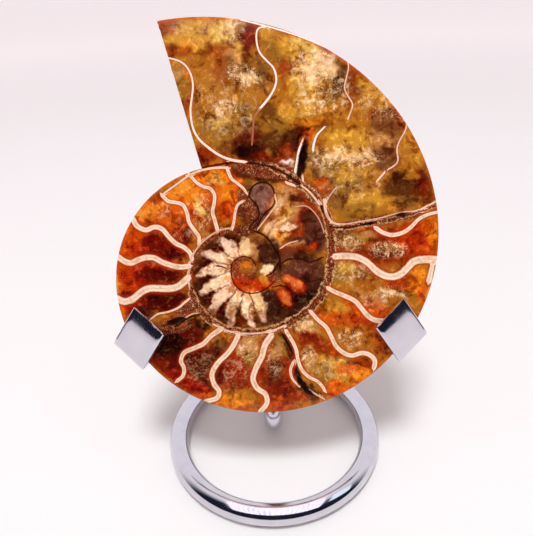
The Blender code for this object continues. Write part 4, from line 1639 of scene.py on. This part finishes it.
def shell_back():
    """The outer shell: tan and brown layers in growth lines along the ribs, worn pale on the ribs,
    with darker seams between the whorls."""
    shell = Finish("outer shell", Coat_Weight=0.2, Coat_Roughness=0.2, IOR=1.5)
    place = shell.place()
    phase, inward, depth = shell.parts("growth")
    cloud = shell.noise(place, 0.22, 6, 0.62, 0.8)
    fine = shell.noise(place, 1.6, 6, 0.7)
    line = ((phase * 9.0 + cloud * 1.5) * TURN).wave() * 0.5 + 0.5
    thread = ((phase * 31.0 + fine * 0.8) * TURN).wave() * 0.5 + 0.5
    crest = 0.5 - ((phase + 0.25) * TURN).wave() * 0.5
    colour = shell.mix(cloud.between(0.36, 0.64), mineral("olive"), mineral("tan"))
    stain = shell.noise(place, 0.4, 5, 0.7, 1.2)
    colour = shell.mix(stain.between(0.5, 0.62) * 0.7, colour, mineral("rust"))
    colour = shell.mix(crest * 0.5, colour, mineral("cream"))
    colour = shell.mix((1.0 - crest) * 0.4, colour, mineral("sienna"))
    colour = shell.mix(line * 0.3, colour, mineral("umber"))
    colour = shell.mix(thread * fine * 0.3, colour, mineral("bone"))
    colour = shell.mix(fine.between(0.42, 0.3) * 0.6, colour, mineral("dark"))
    colour = shell.mix(inward.between(0.07, 0.0) * 0.8, colour, mineral("dark"))
    colour = shell.mix(depth.between(1.2, 0.2) * 0.6, colour, mineral("amber"))
    shell.set("Base Color", colour)
    shell.set("Roughness", fine * 0.3 + 0.28)
    relief = line * 0.5 + thread * 0.25 + fine * 0.8
    shell.set("Normal", shell.bump(relief, 0.5, 0.00018))
    return shell.material


def broken_mouth():
    """The broken end of the last whorl: dull brown matrix with pale grains."""
    matrix = Finish("broken matrix", IOR=1.5)
    place = matrix.place()
    coarse = matrix.noise(place, 0.6, 6, 0.7, 0.6)
    grain = matrix.noise(place, 2.6, 5, 0.75)
    colour = matrix.mix(coarse.between(0.35, 0.65), mineral("umber"), mineral("rust"))
    colour = matrix.mix(grain.between(0.56, 0.68) * 0.8, colour, mineral("tan"))
    colour = matrix.mix(grain.between(0.42, 0.3) * 0.7, colour, mineral("dark"))
    matrix.set("Base Color", colour)
    matrix.set("Roughness", grain * 0.2 + 0.6)
    matrix.set("Normal", matrix.bump(grain + coarse, 0.8, 0.0004))
    return matrix.material


def chrome():
    """Bright plate: near white with a lavender tint, its gloss uneven from handling and polish."""
    plate = Finish("chrome plate", Metallic=1.0)
    place = plate.place()
    smear = plate.noise(place, 0.16, 4, 0.6, 0.5)
    brush = plate.noise(plate.place((0.4, 6.0, 6.0)), 1.2, 3, 0.6)
    pit = plate.noise(place, 3.5, 2, 0.5).between(0.74, 0.8)
    colour = plate.mix(smear.between(0.35, 0.7), (0.64, 0.62, 0.68), (0.70, 0.68, 0.73))
    colour = plate.mix(pit * 0.6, colour, (0.25, 0.22, 0.22))
    plate.set("Base Color", colour)
    plate.set("Roughness", smear.between(0.3, 0.7) * 0.07 + brush * 0.05 + pit * 0.3 + 0.035)
    plate.set("Normal", plate.bump(brush * 0.3 + pit, 0.12, 0.00003))
    return plate.material


def table_top():
    """A plain pale table, a wide disc whose edge lies under the horizon, a little pinker far away."""
    weave = Weave()
    angles = np.linspace(0, TURN, TABLE_SIDES, endpoint=False)
    rings = []
    for radius in TABLE_RINGS:
        across = radius * np.cos(angles)
        away = radius * np.sin(angles)
        ring = weave.add(np.column_stack([across, away, np.full(TABLE_SIDES, -TABLE_DROP)]))
        rings.append(np.append(ring, ring[0]))
    for one, two in zip(rings[1:], rings):
        weave.strip(one, two)
    middle = weave.add(np.array([[0.0, 0.0, -TABLE_DROP]]))[0]
    weave.fan(rings[0][:-1], middle)
    top = Finish("pale table", Roughness=0.6, Emission_Strength=1.0)
    place = top.place()
    cloud = top.noise(place, 0.01, 4, 0.6)
    length = top.wire("ShaderNodeVectorMath", "Value", {"operation": "LENGTH"}, {0: place})
    far = length.between(0.0, TABLE_FADE)
    near_colour = top.mix(cloud, TABLE_NEAR, TABLE_NEAR_PALE)
    top.set("Base Color", top.mix(far, near_colour, TABLE_FAR))
    top.set("Emission Color", top.mix(far, (0.0, 0.0, 0.0), TABLE_FAR_GLOW))
    table = weave.piece("table_top", [top.material])


def hidden_lamp():
    """A soft lamp aimed at the object that polished surfaces don't mirror."""
    light = bpy.data.lights.new("window light", "AREA")
    light.size = LAMP_SIZE
    light.energy = LAMP_POWER
    light.color = LAMP_COLOUR
    lamp = bpy.data.objects.new("window light", light)
    bpy.context.scene.collection.objects.link(lamp)
    lamp.location = LAMP_PLACE
    aim = Vector(LAMP_AIM) - Vector(LAMP_PLACE)
    lamp.rotation_euler = aim.to_track_quat("-Z", "Y").to_euler()
    lamp.visible_glossy = False


def overhead_window():
    """A fan-shaped window over the table with narrow bars and a small blue pane to its right, there
    only to be mirrored by the plate. A bar is as wide as its share of the fan's width there."""
    weave = Weave()
    for pane in WINDOW_PANES:
        corners = np.array([(*corner, WINDOW_HEIGHT) for corner in pane])
        weave.strip(weave.add(corners[:2]), weave.add(corners[2:]), flip=True)
    pane = Finish("window pane", Roughness=0.5, Emission_Strength=WINDOW_GLOW)
    right, away = pane.split(pane.place())[:2]
    (near_right, near), (far_right, far) = WINDOW_PANES[0][1], WINDOW_PANES[0][3]
    slope = (near_right - far_right) / (far - near)
    fan = (near_right + near * slope) / MM - away * slope
    bars = (right / fan * (WINDOW_BARS * TURN)).wave().between(-0.5, 0.8)
    barred = pane.mix(bars, BAR, GLASS)
    pane.set("Emission Color", pane.mix((right - fan).between(0.0, 20.0), barred, BLUE_PANE))
    window = weave.piece("overhead_window", [pane.material])
    window.visible_camera = False
    window.visible_diffuse = False
    window.visible_shadow = False


def studio():
    """A pale room: even light for the stone, and for the plate a room that is dark low down behind
    the viewer and pale elsewhere."""
    world = bpy.data.worlds.new("studio")
    bpy.context.scene.world = world
    world.use_nodes = True
    room = Nodes(world.node_tree)
    away, high = room.split(room.wire("ShaderNodeTexCoord", "Generated"))[1:]
    pale = away.between(-0.3, 0.2).most(high.between(0.9, 0.98) * 0.5)
    mirrored = room.mix(pale, ROOM_DARK, ROOM_PALE)
    light = room.mix(room.wire("ShaderNodeLightPath", "Is Glossy Ray"), ROOM_LIGHT, mirrored)
    seen = room.mix(room.wire("ShaderNodeLightPath", "Is Camera Ray"), light, ROOM_SEEN)
    background = room.tree.nodes["Background"]
    room.tree.links.new(seen.socket, background.inputs["Color"])
    background.inputs["Strength"].default_value = 1.0
    hidden_lamp()
    overhead_window()


def camera():
    """The picture's viewpoint."""
    right, up, forward = camera_axes()
    data = bpy.data.cameras.new("viewpoint")
    data.sensor_width = 36.0
    data.lens = FOCAL_PIXELS / PICTURE_HEIGHT * data.sensor_width
    data.clip_start = 0.005
    made = bpy.data.objects.new("viewpoint", data)
    bpy.context.scene.collection.objects.link(made)
    turned = Matrix([[right[i], up[i], -forward[i]] for i in range(3)])
    made.matrix_world = Matrix.Translation(Vector(RING_CENTRE + CAMERA_FROM_RING)) @ turned.to_4x4()
    bpy.context.scene.camera = made


def place_piece(piece, node):
    """Lets the piece ride on the part in place of a node's solid."""
    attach(piece, "root")
    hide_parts(node)


def main():
    """Sets up the room and the camera, then builds the fossil and its stand."""
    camera()
    bpy.context.scene.view_settings.view_transform = "Standard"
    table_top()
    studio()
    weave = fossil_weave()
    fossil = weave.piece("ammonite_face_and_shell", [polished_face(), shell_back(), broken_mouth()])
    mark_fossil(fossil, np.concatenate(weave.places))
    place_piece(fossil, "ammonite_half")
    plate = chrome()
    stand = {"base_ring": base_ring(), "post": post(), "arm_left": arm(-1), "arm_right": arm(1)}
    for node, made in stand.items():
        place_piece(made.piece("plated_" + node, [plate]), node)


main()
